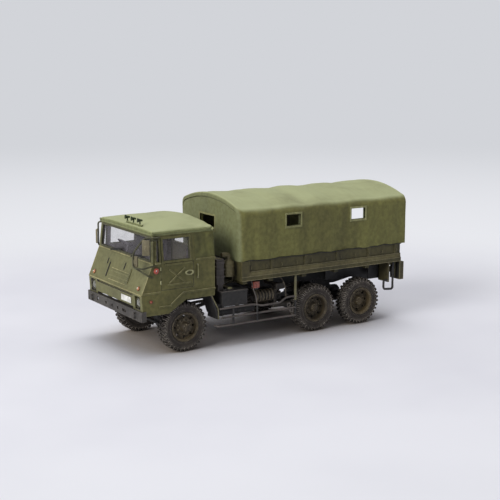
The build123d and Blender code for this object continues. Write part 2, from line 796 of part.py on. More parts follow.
# Raised strips on the slope: centre x, centre up the slope, width, height
slope_strips = (
    (-6.9, 0.40, 0.36, 0.46),
    (6.9, 0.40, 0.36, 0.46),
    (-8.5, 0.64, 0.26, 0.18),
    (2.2, 0.66, 0.26, 0.22),
    (1.0, 0.40, 11.0, 0.035),
    (1.0, 0.255, 11.0, 0.035),
)
with BuildPart() as cab_front:
    add(cab_outer.part)
    add(cab_core.part, mode=Mode.INTERSECT)
    add(cab_hollow.part, mode=Mode.SUBTRACT)
    split(bisect_by=cross_plane(0), keep=Keep.TOP)
    prism(cross_plane(0), screen_outline, 5 - nose_d, Mode.SUBTRACT)
    valance_limits = (-valance_half_width, valance_half_width)
    slab(valance_limits, (nose_d - 1, nose_d + front_depth), (skirt_z - 1, valance_foot_z), Mode.SUBTRACT)
    groove_limits = (valance_top_z, crease_z - valance_groove_gap)
    slab(valance_limits, (nose_d - 1, nose_d + valance_groove), groove_limits, Mode.SUBTRACT)
    for side in (-1, 1):
        lamp_limits = (side * lamp_inner_x, side * lamp_outer_x)
        slab(lamp_limits, (nose_d - 1, nose_d + front_depth), (lamp_foot_z, lamp_top_z), Mode.SUBTRACT)
    for x, share, width, height in slope_strips:
        with BuildSketch(slope_plane.offset(-seam_depth)) as strip:
            with Locations((x, share * slope_length)):
                Rectangle(width, height * slope_length)
        extrude(strip.sketch, amount=seam_depth + bead_height)
finish(cab_front, "cab_front")

# Windscreen: one pane that follows the rake of the opening
with BuildPart() as windscreen_glass:
    screen_section = (
        (screen_base_d + glass_inset, belt_z),
        (screen_base_d + glass_inset + glass_thickness, belt_z),
        (screen_top_d + glass_inset + glass_thickness, header_z),
        (screen_top_d + glass_inset, header_z),
    )
    prism(side_plane(-cab_half_width), screen_section, 2 * cab_half_width)
    prism(cross_plane(0), screen_outline, 5 - nose_d, Mode.INTERSECT)
finish(windscreen_glass, "windscreen_glass")

# Back of the cab with pressed ribs, its rear window opening and the pane in it
back_window_half_width = 6.0
back_window_foot_z = 27.6
back_window_top_z = 32.1
tunnel_half_width = rail_half_width + 0.7
back_rib_xs = (-12.5, -9.5, 9.5, 12.5)
back_rib_half = 0.3
back_rib_limits = (18.0, 31.5)
back_window = (-back_window_half_width, back_window_half_width)
back_window_z = (back_window_foot_z, back_window_top_z)
with BuildPart() as cab_back:
    add(cab_outer.part)
    add(cab_core.part, mode=Mode.INTERSECT)
    add(cab_hollow.part, mode=Mode.SUBTRACT)
    split(bisect_by=cross_plane(0), keep=Keep.BOTTOM)
    behind = (cab_rear_d - 2, cab_rear_d + 1)
    slab(back_window, behind, back_window_z, Mode.SUBTRACT)
    slab((-tunnel_half_width, tunnel_half_width), behind, (skirt_z, rail_top_z + seat_gap), Mode.SUBTRACT)
    for x in back_rib_xs:
        rib_limits = (x - back_rib_half, x + back_rib_half)
        slab(rib_limits, (cab_rear_d - seam_depth, cab_rear_d + bead_height), back_rib_limits)
finish(cab_back, "cab_back")

with BuildPart() as back_glass:
    pane_d = cab_rear_d - glass_inset
    slab(back_window, (pane_d - glass_thickness, pane_d), back_window_z)
finish(back_glass, "back_glass")

# Floor of the cab, which carries the seats and the dashboard
floor_rail_half = 0.6
floor_rail_limits = (-9.0, cab_rear_d - cab_wall - 0.5)
with BuildPart() as cab_floor:
    inner = cab_half_width - cab_wall
    floor_front_d = nose_d + lamp_depth + 2 * seat_gap
    slab((-inner, inner), (floor_front_d, cab_rear_d - cab_wall), (floor_z, floor_z + floor_thickness))
    for side in (-1, 1):
        x = side * rail_half_width
        slab((x - floor_rail_half, x + floor_rail_half), floor_rail_limits, (rail_top_z, floor_z))
finish(cab_floor, "cab_floor")

# Roof: a cap with a straight front edge that rises into an arch
roof_top_z = header_z + roof_edge_height
roof_half_width = cab_top_half_width + roof_side_overhang
roof_shoulder_d = screen_top_d + 5.0
roof_hollow_gap = 0.3
roof_shares = (-1.0, -0.7, -0.35, 0.0, 0.35, 0.7, 1.0)
# Sections from the front: distance behind the front axle, height of the crown over the sides
roof_sections = (
    (screen_top_d - roof_overhang, roof_front_crown),
    (roof_shoulder_d, roof_rear_crown - 0.4),
    (cab_rear_d, roof_rear_crown),
)
with BuildPart() as cab_roof:
    for d, crown in roof_sections:
        crown_points = [
            (share * roof_half_width, roof_top_z + (crown - roof_edge_height) * (1 - share * share))
            for share in roof_shares
        ]
        with BuildSketch(cross_plane(d)):
            Polygon(*crown_points, (roof_half_width, header_z), (-roof_half_width, header_z), align=None)
    loft(ruled=True)
    hollow_half_width = roof_half_width - cab_wall - roof_hollow_gap
    slab(
        (-hollow_half_width, hollow_half_width),
        (screen_top_d + cab_wall, cab_rear_d - cab_wall),
        (header_z - 1, header_z + roof_edge_height - roof_skin),
        Mode.SUBTRACT,
    )
finish(cab_roof, "cab_roof")

# Dashboard, seats and steering wheel seen through the glass
dash_rear_d = -7.2
dash_foot_z = 22.0
dash_top_z = 25.2
dash_bevel = 0.7
with BuildPart() as dashboard:
    dash_gap = cab_wall + seat_gap
    dash_section = (
        (slope_d(dash_foot_z) + dash_gap, dash_foot_z),
        (slope_d(dash_top_z) + dash_gap, dash_top_z),
        (dash_rear_d - dash_bevel, dash_top_z),
        (dash_rear_d, dash_top_z - dash_bevel),
        (dash_rear_d, dash_foot_z),
    )
    prism(side_plane(dash_gap - cab_half_width), dash_section, 2 * (cab_half_width - dash_gap))
finish(dashboard, "dashboard")

seat_x = 9.0
seat_half_width = 3.2
seat_front_d = -0.6
seat_back_d = 5.6
seat_z = 20.6
seat_pad = 1.6
seat_back_height = 7.0
seat_back_top = 1.1
seat_base_inset = 0.6
floor_top_z = floor_z + floor_thickness
seat_section = (
    (seat_front_d, seat_z - seat_pad),
    (seat_front_d, seat_z),
    (seat_back_d - 0.4, seat_z - 0.4),
    (seat_back_d + 0.5, seat_z + seat_back_height),
    (seat_back_d + 0.5 + seat_back_top, seat_z + seat_back_height),
    (seat_back_d + seat_pad, seat_z - seat_pad),
)
with BuildPart() as seats:
    for x in (-seat_x, seat_x):
        prism(side_plane(x - seat_half_width), seat_section, 2 * seat_half_width)
        slab(
            (x - seat_half_width + seat_base_inset, x + seat_half_width - seat_base_inset),
            (seat_front_d + seat_base_inset, seat_back_d + 1.0),
            (floor_top_z, seat_z - seat_pad),
        )
finish(seats, "seats")

steer_d = -3.9
steer_z = 25.6
steer_radius = 3.3
steer_rim = 0.5
steer_hub_radius = 0.7
steer_spoke = 0.45
column_radius = 0.35
column_foot = at(-seat_x, -8.8, 17.3)
steer_plane = Plane(origin=at(-seat_x, steer_d, steer_z), x_dir=(1, 0, 0), z_dir=(0, 0.5, 0.87))
with BuildPart() as steering_wheel:
    with BuildSketch(steer_plane.offset(-steer_rim / 2)) as steer_face:
        RegularPolygon(steer_radius + steer_rim / 2, round_sides)
        RegularPolygon(steer_radius - steer_rim / 2, round_sides, mode=Mode.SUBTRACT)
        Rectangle(2 * steer_radius, steer_spoke)
        RegularPolygon(steer_hub_radius, bar_sides)
    extrude(steer_face.sketch, amount=steer_rim)
    bar(at(-seat_x, steer_d, steer_z), column_foot, column_radius)
finish(steering_wheel, "steering_wheel")

# Headlamps: a housing that fills each opening, with a round lens
lamp_face_inset = 0.75
lens_height = 0.45
lens_taper = 0.2
with BuildPart() as headlamps:
    lamp_face_d = nose_d + lamp_face_inset
    for side in (-1, 1):
        lamp_x = side * (lamp_inner_x + lamp_outer_x) / 2
        lamp_z = (lamp_foot_z + lamp_top_z) / 2
        lamp_limits = (side * lamp_inner_x, side * lamp_outer_x)
        slab(lamp_limits, (lamp_face_d, nose_d + lamp_depth), (lamp_foot_z, lamp_top_z))
        lens_plane = Plane(origin=at(lamp_x, lamp_face_d, lamp_z), z_dir=(0, -1, 0))
        cone(lens_plane, ((0, headlamp_radius), (lens_height, headlamp_radius - lens_taper)), round_sides)
finish(headlamps, "headlamps")

# Turn and side lamps: x, d, height, radius, and whether they face sideways
turn_lamps_list = (
    (14.1, slope_d(19.3), 19.3, 0.55, False),
    (cab_half_width, -9.6, 24.2, 0.8, True),
    (cab_half_width, -11.3, 15.9, 0.5, True),
)
turn_lamp_height = 0.5
with BuildPart() as turn_lamps:
    for x, d, z, radius, sideways in turn_lamps_list:
        for side in (-1, 1):
            facing = (side, 0, 0) if sideways else slope_plane.z_dir
            lamp_plane = Plane(origin=at(side * x, d, z), z_dir=facing)
            cone(lamp_plane, ((0, radius), (turn_lamp_height, radius - lens_taper)), small_sides)
finish(turn_lamps, "turn_lamps")

# Blank number plate on the valance
plate_x = 7.55
plate_half_width = 2.95
plate_foot_z = 14.7
plate_height = 1.6
with BuildPart() as number_plate:
    slab(
        (plate_x - plate_half_width, plate_x + plate_half_width),
        (nose_d - 0.12, nose_d + 0.04),
        (plate_foot_z, plate_foot_z + plate_height),
    )
finish(number_plate, "number_plate")

# Wipers that park along the foot of the windscreen
wiper_xs = (-8.5, 4.5)
wiper_length = 7.0
wiper_rise = 1.1
wiper_radius = 0.2
with BuildPart() as wipers:
    for x in wiper_xs:
        foot = at(x, screen_base_d - wiper_radius - 0.06, belt_z + wiper_radius)
        tip = at(x + wiper_length, screen_base_d - wiper_radius, belt_z + wiper_radius + wiper_rise)
        bar(foot, tip, wiper_radius)
finish(wipers, "wipers")

# Three funnel lamps on a bracket at the front of the roof
roof_lamp_xs = (0.0, 3.5, 7.0)
roof_lamp_setback = 0.9
funnel_length = 1.8
funnel_mouth = 0.8
funnel_root = 0.35
funnel_rise = 1.4
bracket_half_depth = 0.3
bracket_height = 0.5
lamp_d = screen_top_d + roof_lamp_setback
front_section, mid_section = roof_sections[:2]
rise = (lamp_d - front_section[0]) / (mid_section[0] - front_section[0])
roof_z = header_z + front_section[1] + rise * (mid_section[1] - front_section[1]) + 0.03
with BuildPart() as roof_lamps:
    slab(
        (roof_lamp_xs[0] - 1.2, roof_lamp_xs[-1] + 1.2),
        (lamp_d - bracket_half_depth, lamp_d + bracket_half_depth),
        (roof_z, roof_z + bracket_height),
    )
    for x in roof_lamp_xs:
        bar(at(x, lamp_d, roof_z + 0.4), at(x, lamp_d, roof_z + 1.0), 0.3)
        funnel_plane = Plane(origin=at(x, lamp_d + funnel_length / 2, roof_z + funnel_rise), z_dir=(0, -1, 0))
        cone(funnel_plane, ((0, funnel_root), (funnel_length, funnel_mouth)), small_sides)
finish(roof_lamps, "roof_lamps")

# Mirrors: heads on bent stays, the left pair carried forward of the corner
mirror_width = 2.2
mirror_height = 4.2
mirror_thickness = 0.6
mirror_turn = 40
low_mirror_width = 2.0
low_mirror_height = 3.0
mirror_half_span = (
    mirror_width * cos(radians(mirror_turn)) + mirror_thickness * sin(radians(mirror_turn))
) / 2
mirror_x = cab_half_width + mirror_gap + mirror_half_span
low_skin_x = cab_half_width + stay_radius + mirror_gap


def skin_x(z):
    """Half width of the cab at a height above its belt."""
    return cab_half_width - (cab_half_width - cab_top_half_width) * (z - belt_z) / (header_z - belt_z)


with BuildPart() as mirrors:
    left_route = [
        at(skin_x(32.6) + seat_gap + stay_radius, -8.3, 33.25),
        at(mirror_x - 0.6, -10.0, 33.3),
        at(mirror_x - 0.6, -13.4, 33.4),
        at(mirror_x - 0.6, -13.6, 30.6),
        at(14.0, stay_front_d, 28.7),
        at(14.0, stay_front_d, 25.2),
        at(mirror_x - 0.7, -13.9, 25.2),
        at(mirror_x - 0.7, -10.9, 25.7),
        at(low_skin_x, -9.9, 25.7),
    ]
    bent_bar(left_route, stay_radius)
    with Locations(Location(at(mirror_x, -13.1, 31.0), (0, 0, mirror_turn))):
        Box(mirror_width, mirror_thickness, mirror_height)
    with Locations(Location(at(14.2, stay_front_d + 0.5, 26.9), (0, 0, mirror_turn / 2))):
        Box(low_mirror_width, mirror_thickness, low_mirror_height)
    right_route = [
        at(-skin_x(33.2) - seat_gap - stay_radius, -9.2, 33.2),
        at(0.2 - mirror_x, -10.4, 33.2),
        at(0.2 - mirror_x, -10.4, 26.3),
        at(-low_skin_x, -9.6, 26.0),
    ]
    bent_bar(right_route, stay_radius)
    with Locations(Location(at(-mirror_x, -10.6, 29.0), (0, 0, -mirror_turn))):
        Box(mirror_width, mirror_thickness, mirror_height)
finish(mirrors, "mirrors")

# Between cab and bed: air cleaner with its intake, and an upright locker
cleaner_x = 14.0
cleaner_d = 14.6
cleaner_radius = 1.35
cleaner_foot_z = 18.9
cleaner_top_z = 23.9
cleaner_lid_height = 0.5
cleaner_lid_radius = 1.0
cleaner_post_radius = 0.4
intake_radius = 0.7
intake_top_z = 25.9
intake_reach = 2.2
bracket_thickness = 0.6
rail_grip_x = rail_half_width - 0.5
with BuildPart() as air_cleaner:
    cleaner_foot = at(cleaner_x, cleaner_d, cleaner_foot_z)
    cleaner_top = at(cleaner_x, cleaner_d, cleaner_top_z)
    bar(cleaner_foot, cleaner_top, cleaner_radius, round_sides)
    bar(cleaner_top, at(cleaner_x, cleaner_d, cleaner_top_z + cleaner_lid_height), cleaner_lid_radius, round_sides)
    intake_route = [
        cleaner_top,
        at(cleaner_x, cleaner_d, intake_top_z - intake_radius),
        at(cleaner_x, cleaner_d - intake_radius, intake_top_z),
        at(cleaner_x, cleaner_d - intake_reach, intake_top_z),
    ]
    bent_bar(intake_route, intake_radius)
    bracket_d = (cleaner_d - bracket_thickness, cleaner_d + bracket_thickness)
    slab((rail_grip_x, cleaner_x + bracket_thickness), bracket_d, (rail_top_z, rail_top_z + bracket_thickness))
    bar(at(cleaner_x, cleaner_d, rail_top_z), cleaner_foot, cleaner_post_radius)
finish(air_cleaner, "air_cleaner")

locker_x = (12.0, 15.4)
locker_d = (10.2, 12.55)
locker_foot_z = rail_top_z + 1.8
locker_top_z = 25.0
locker_band_zs = (20.0, 22.0, 24.0)
locker_band = 0.2
with BuildPart() as locker:
    slab(locker_x, locker_d, (locker_foot_z, locker_top_z))
    band_x = (locker_x[0] - locker_band, locker_x[1] + locker_band)
    band_d = (locker_d[0] - locker_band, locker_d[1] + locker_band)
    for z in locker_band_zs:
        slab(band_x, band_d, (z - locker_band, z + locker_band))
    slab((rail_grip_x, locker_x[1]), (locker_d[0] + 0.4, locker_d[1] - 0.35), (rail_top_z, locker_foot_z))
finish(locker, "locker")

# Side boxes under the bed: battery box with a round cap on the left, fuel tank on the right
battery_x = (11.0, 17.0)
battery_d = (11.0, 19.3)
battery_foot_z = 11.65
battery_lid_z = 15.6
battery_lid_lip = 0.2
battery_arm_d = (14.5, 15.7)
battery_arm_z = (13.4, 14.6)
cap_x = 15.9
cap_d = 12.6
filler_radius = 0.55
filler_height = 0.35
with BuildPart() as battery_box:
    slab(battery_x, battery_d, (battery_foot_z, battery_lid_z))
    lid_x = (battery_x[0] - battery_lid_lip, battery_x[1] + battery_lid_lip)
    lid_d = (battery_d[0] - battery_lid_lip, battery_d[1] + battery_lid_lip)
    lid_top_z = rail_top_z - 0.05
    slab(lid_x, lid_d, (battery_lid_z, lid_top_z))
    bar(at(cap_x, cap_d, lid_top_z), at(cap_x, cap_d, lid_top_z + filler_height), filler_radius, round_sides)
    slab((rail_half_width, battery_x[0]), battery_arm_d, battery_arm_z)
finish(battery_box, "battery_box")

# Round cap of the fuel tank, its two straps and the arms that hold it to the rail
tank_x = (-16.5, -10.5)
tank_z = (10.7, 15.7)
tank_d = (11.0, 25.0)
tank_corner = 1.0
strap_ds = (14.0, 22.0)
strap_half = 0.4
strap_thickness = 0.15
with BuildPart() as fuel_tank:
    prism(cross_plane(tank_d[1]), cut_corner_box(tank_x, tank_z, tank_corner), tank_d[1] - tank_d[0])
    strap_x = (tank_x[0] - strap_thickness, tank_x[1] + strap_thickness)
    strap_z = (tank_z[0] - strap_thickness, tank_z[1] + strap_thickness)
    for d in strap_ds:
        prism(cross_plane(d + strap_half), cut_corner_box(strap_x, strap_z, tank_corner), 2 * strap_half)
        slab((tank_x[1], -rail_half_width), (d - strap_half, d + strap_half), (13.6, 14.4))
    tank_cap = (tank_x[0] + 2, tank_d[0] + 1.8)
    bar(at(*tank_cap, tank_z[1]), at(*tank_cap, tank_z[1] + 0.7), filler_radius, round_sides)
finish(fuel_tank, "fuel_tank")

# Ribbed silencer along the left rail with its pipe
muffler_x = 13.0
muffler_z = 12.4
muffler_front_d = 23.7
muffler_rear_d = 30.6
muffler_radius = 1.5
rib_count = 6
rib_pitch = 1.1
rib_length = 0.4
rib_height = 0.25
tailpipe_radius = 0.5
tailpipe_end_d = 33.2
hanger_d = (26.6, 27.4)
hanger_z = (13.4, 13.9)
with BuildPart() as muffler:
    bar(
        at(muffler_x, muffler_front_d, muffler_z),
        at(muffler_x, muffler_rear_d, muffler_z),
        muffler_radius,
        small_sides,
    )
    for rib in range(rib_count):
        rib_d = muffler_front_d + 0.6 + rib * rib_pitch
        rib_start = at(muffler_x, rib_d, muffler_z)
        rib_end = at(muffler_x, rib_d + rib_length, muffler_z)
        bar(rib_start, rib_end, muffler_radius + rib_height, small_sides)
    bar(at(muffler_x, muffler_rear_d, muffler_z), at(muffler_x, tailpipe_end_d, muffler_z), tailpipe_radius)
    slab((rail_half_width, muffler_x), hanger_d, hanger_z)
finish(muffler, "muffler")

# Small marker box on a bracket ahead of the silencer
marker_x = (15.4, 16.6)
marker_d = (21.7, 23.8)
marker_z = (15.7, 17.6)
with BuildPart() as marker_box:
    slab(marker_x, marker_d, marker_z)
    slab((rail_half_width, marker_x[1]), (marker_d[0] + 0.5, marker_d[1] - 0.5), (marker_z[0] - 0.4, marker_z[0]))
finish(marker_box, "marker_box")

# Side guards: three rails on posts down each side, with the long post at their rear
guard_x = 17.1
guard_radius = 0.3
guard_sides = 4
guard_return = 2.0
guard_front_d = 9.6
guard_rear_d = 35.9
guard_low_z = 6.2
guard_mid_z = 8.55
guard_high_z = 11.2
post_half = 0.3
# Posts: distance behind the front axle, foot height, top height
guard_posts = (
    (13.0, guard_low_z, guard_high_z),
    (22.6, guard_low_z, bed_floor_z),
    (guard_rear_d, 6.0, bed_floor_z),
)
# Upper rail, which dips under the silencer: distance behind the front axle, height
upper_rail = (
    (10.2, guard_high_z),
    (21.8, guard_high_z),
    (24.2, 10.5),
    (30.6, 10.6),
    (32.6, 11.9),
    (guard_rear_d, 11.9),
)
with BuildPart() as side_guards:
    for side in (-1, 1):
        x = side * guard_x
        bent_bar([at(x, d, z) for d, z in upper_rail], guard_radius, guard_sides)
        bar(at(x, 10.7, guard_mid_z), at(x, guard_rear_d, guard_mid_z), guard_radius, guard_sides)
        lower_rail = [
            at(x - side * guard_return, guard_front_d, guard_low_z),
            at(x, guard_front_d, guard_low_z),
            at(x, guard_rear_d, guard_low_z),
        ]
        bent_bar(lower_rail, guard_radius, guard_sides)
        for d, foot_z, top_z in guard_posts:
            slab((x - post_half, x + post_half), (d - post_half, d + post_half), (foot_z, top_z))
finish(side_guards, "side_guards")

# Mud flaps behind the front wheels and behind the rear wheels
flap_thickness = 0.5
front_flap_inner_x = 11.2
front_flap_top_d = 7.4
front_flap_foot_d = 9.9
front_flap_foot_z = 9.4
front_flap_edge = 0.1
rear_flap_x = (12.2, 17.0)
rear_flap_setback = 9.83
rear_flap_foot_z = 12.0
flap_d = rear_axle_d + rear_flap_setback
with BuildPart() as front_mudflaps:
    flap_section = (
        (front_flap_top_d, cab_rear_foot_z),
        (front_flap_top_d + flap_thickness, cab_rear_foot_z),
        (front_flap_foot_d, front_flap_foot_z),
        (front_flap_foot_d - flap_thickness, front_flap_foot_z),
    )
    flap_outer_x = cab_half_width - front_flap_edge
    for side in (-1, 1):
        prism(side_plane(side * front_flap_inner_x), flap_section, side * (flap_outer_x - front_flap_inner_x))
        arm_limits = (side * rail_half_width, side * (front_flap_inner_x + 0.8))
        slab(arm_limits, (7.2, 7.8), (13.6, 14.4))
finish(front_mudflaps, "front_mudflaps")

with BuildPart() as rear_mudflaps:
    for side in (-1, 1):
        flap_limits = (side * rear_flap_x[0], side * rear_flap_x[1])
        slab(flap_limits, (flap_d, flap_d + flap_thickness), (rear_flap_foot_z, bed_floor_z))
finish(rear_mudflaps, "rear_mudflaps")

# Rear lamps: a block at each side, on a beam from the end of its rail
lamp_block_x = (12.6, 17.2)
lamp_block_front_gap = 0.2
lamp_block_depth = 1.6
lamp_block_foot_z = 12.4
lamp_beam_z = (14.0, 15.6)
lamp_beam_depth = 0.8
lamp_block_d = bed_rear_d - lamp_block_front_gap
with BuildPart() as tail_lamps:
    for side in (-1, 1):
        block_limits = (side * lamp_block_x[0], side * lamp_block_x[1])
        block_z = (lamp_block_foot_z, bed_floor_z - 0.3)
        slab(block_limits, (lamp_block_d, lamp_block_d + lamp_block_depth), block_z)
        beam_limits = (side * (rail_half_width - 1.0), side * lamp_block_x[0])
        slab(beam_limits, (bed_rear_d, bed_rear_d + lamp_beam_depth), lamp_beam_z)
        bracket_limits = (side * (rail_half_width - 1.0), side * (rail_half_width - 0.1))
        slab(bracket_limits, (rail_rear_d, bed_rear_d), lamp_beam_z)
finish(tail_lamps, "tail_lamps")

# Stirrup steps that hang from the bed and reach forward to the flaps
step_x = 16.6
step_radius = 0.3
step_foot_z = 9.6
step_reach = 1.4
step_drop_gap = 2.2
step_end_z = 12.6
with BuildPart() as rear_steps:
    for side in (-1, 1):
        x = side * step_x
        step_route = [
            at(x, flap_d + step_drop_gap, bed_floor_z),
            at(x, flap_d + step_drop_gap, step_foot_z),
            at(x, flap_d - step_reach, step_foot_z + 0.3),
            at(x, flap_d - step_reach, step_end_z),
            at(x, flap_d, step_end_z),
        ]
        bent_bar(step_route, step_radius)
finish(rear_steps, "rear_steps")

# Bed: floor on bearers and sills, boards with stakes, front board and tailgate
board_foot_z = bed_floor_z + bed_floor_thickness
hoop_inset = canopy_wall + seat_gap
deck_half_width = canopy_half_width - hoop_inset - hoop_thickness - deck_margin
first_stake_d = bed_front_d + stake_front_gap
last_stake_d = bed_rear_d - stake_rear_gap
stake_count = round((last_stake_d - first_stake_d) / stake_pitch)
stake_ds = [first_stake_d + number * stake_pitch for number in range(stake_count)]
end_bearer_gap = 1.8
rear_bearer_gap = 2.9
bearer_ds = stake_ds + [bed_front_d + end_bearer_gap, bed_rear_d - rear_bearer_gap]
deck_end_gap = board_thickness + deck_margin
with BuildPart() as bed_floor:
    slab((-bed_half_width, bed_half_width), (bed_front_d, bed_rear_d), (bed_floor_z, board_foot_z))
    slab(
        (-deck_half_width, deck_half_width),
        (bed_front_d + deck_end_gap, bed_rear_d - deck_end_gap),
        (board_foot_z, board_foot_z + deck_height),
    )
    bearer_limits = (bearer_inset - bed_half_width, bed_half_width - bearer_inset)
    for d in bearer_ds:
        slab(bearer_limits, (d - bearer_width / 2, d + bearer_width / 2), (bed_floor_z - bearer_height, bed_floor_z))
    for side in (-1, 1):
        slab((side * rail_inner, side * rail_half_width), (bed_front_d, rail_rear_d), (rail_top_z, bed_floor_z))
finish(bed_floor, "bed_floor")

inner_x = bed_half_width - board_thickness
for side_name, side in (("left", 1), ("right", -1)):
    with BuildPart() as bed_side:
        board = (side * inner_x, side * bed_half_width)
        half_proud = (side * bed_half_width, side * (bed_half_width + stake_proud / 2))
        full_proud = (side * bed_half_width, side * (bed_half_width + stake_proud))
        moulding_z = bed_floor_z + moulding_rise
        slab(board, (bed_front_d, bed_rear_d), (board_foot_z, bed_top_z))
        slab(full_proud, (bed_front_d, bed_rear_d), (bed_floor_z, bed_floor_z + bed_rail_height))
        slab(half_proud, (bed_front_d, bed_rear_d), (moulding_z, moulding_z + moulding_height))
        for d in stake_ds + [last_stake_d]:
            slab(half_proud, (d - stake_width / 2, d + stake_width / 2), (bed_floor_z, bed_top_z))
        slab(full_proud, (bed_front_d, bed_front_d + post_width), (bed_floor_z, bed_top_z))
    finish(bed_side, f"bed_side_{side_name}")

# Front board and tailgate, each with upright battens: their centres
front_batten_xs = (-11.0, -3.7, 3.7, 11.0)
gate_batten_xs = (-12.0, -4.0, 4.0, 12.0)
batten_half = 0.5
batten_height = 0.3
with BuildPart() as bed_front:
    slab((-inner_x, inner_x), (bed_front_d, bed_front_d + board_thickness), (board_foot_z, bed_top_z))
    for x in front_batten_xs:
        batten = (x - batten_half, x + batten_half)
        slab(batten, (bed_front_d - batten_height + seat_gap, bed_front_d), (board_foot_z, bed_top_z))
finish(bed_front, "bed_front")

with BuildPart() as tailgate:
    slab((-inner_x, inner_x), (bed_rear_d - board_thickness, bed_rear_d), (board_foot_z, bed_top_z))
    for x in gate_batten_xs:
        batten = (x - batten_half, x + batten_half)
        slab(batten, (bed_rear_d, bed_rear_d + batten_height), (board_foot_z, bed_top_z))
finish(tailgate, "tailgate")


# Canopy: one moulded cover with a crowned top, closed in front and open to the rear
def canopy_face(inset, foot_z):
    """Outline of the cover from the front, or of its inside: upright sides, round shoulders, crowned top."""
    half = canopy_half_width - inset
    corner_x = canopy_half_width - 0.33 * canopy_shoulder - 0.8 * inset
    corner_z = canopy_eave_z + 0.75 * canopy_shoulder - 0.6 * inset
    top_x = canopy_half_width - canopy_shoulder - 0.4 * inset
    top_z = canopy_eave_z + 1.12 * canopy_shoulder - 0.93 * inset
    with BuildSketch() as face:
        with BuildLine():
            Polyline((-half, canopy_eave_z), (-half, foot_z), (half, foot_z), (half, canopy_eave_z))
            ThreePointArc((half, canopy_eave_z), (corner_x, corner_z), (top_x, top_z))
            ThreePointArc((top_x, top_z), (0, canopy_crown_z - inset), (-top_x, top_z))
            ThreePointArc((-top_x, top_z), (-corner_x, corner_z), (-half, canopy_eave_z))
        make_face()
    return face.sketch


# Windows of the cover, with a raised frame round each: low and high limits along and up
canopy_window_z = (32.8, 36.1)
canopy_window_ds = ((32.6, 37.5), (56.0, 61.2))
front_window_x = (-5.3, 3.1)
front_window_z = (31.1, 35.2)
cover_frame_width = 0.45
cover_frame_height = 0.25
canopy_length = canopy_rear_d - canopy_front_d


def grown(limits, margin):
    """A pair of limits drawn out at both ends."""
    return (limits[0] - margin, limits[1] + margin)


with BuildPart() as canopy:
    with BuildSketch(cross_plane(canopy_front_d)) as bevel_front:
        add(canopy_face(canopy_bevel / 2, bed_top_z))
    with BuildSketch(cross_plane(canopy_front_d + canopy_bevel)) as bevel_back:
        add(canopy_face(0, bed_top_z))
    loft([bevel_front.sketch, bevel_back.sketch], ruled=True)
    extrude(bevel_back.sketch, amount=canopy_bevel - canopy_length)
    with BuildSketch(cross_plane(canopy_front_d + canopy_wall)) as hollow:
        add(canopy_face(canopy_wall, bed_top_z - 1))
    extrude(hollow.sketch, amount=-canopy_length, mode=Mode.SUBTRACT)
    frame_x = canopy_half_width + cover_frame_height
    for window_d in canopy_window_ds:
        frame_limits = (grown(window_d, cover_frame_width), grown(canopy_window_z, cover_frame_width))
        for side in (-1, 1):
            slab((side * (canopy_half_width - canopy_wall), side * frame_x), *frame_limits)
        slab((-frame_x, frame_x), window_d, canopy_window_z, Mode.SUBTRACT)
    slab(front_window_x, (canopy_front_d - 1, canopy_front_d + canopy_wall + 1), front_window_z, Mode.SUBTRACT)
finish(canopy, "canopy")

# Hoops that carry the cover: straight runs that stand on the bed floor inside the boards
def hoop_outline(inset, foot_z):
    """Outline of a hoop, or of the space in it, from the front."""
    half = canopy_half_width - inset
    shoulder_z = canopy_eave_z + canopy_shoulder - inset
    crown_z = canopy_crown_z - inset
    right = (
        (half, foot_z),
        (half, canopy_eave_z - 0.4 * inset),
        (half - 0.8 * canopy_shoulder, shoulder_z),
        (0.45 * half, shoulder_z + 0.8 * (crown_z - shoulder_z)),
    )
    left = [(-x, z) for x, z in reversed(right)]
    return (*right, (0, crown_z), *left)


with BuildPart() as canopy_hoops:
    for hoop in range(hoop_count):
        hoop_d = canopy_front_d + hoop_end_gap + hoop * (canopy_length - 2 * hoop_end_gap) / (hoop_count - 1)
        hoop_plane = cross_plane(hoop_d - hoop_thickness / 2)
        prism(hoop_plane, hoop_outline(hoop_inset, board_foot_z), -hoop_thickness)
        inner_outline = hoop_outline(hoop_inset + hoop_thickness, board_foot_z - 1)
        prism(hoop_plane, inner_outline, -hoop_thickness, Mode.SUBTRACT)
finish(canopy_hoops, "canopy_hoops")
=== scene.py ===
# %% [markdown]
# # A covered army truck, as a painted scale model
#
# This lesson dresses a small plastic model of a six-wheeled cargo truck. Its hard
# pieces come ready made from the frame, each in its true place, so the work here is
# the finish: paint that is dry-brushed on its edges, a moulded canvas cover with soft
# folds, rubber tyres, clear glazing and the small fittings that a model maker adds.
# Everything is in metres, and the model is only 93 mm long, so most sizes are written
# in millimetres and multiplied by one value.

# %% Load the frame
import json
from math import atan2, cos, pi, radians, sin

import bmesh
import bpy
from mathutils import Matrix, Vector, noise


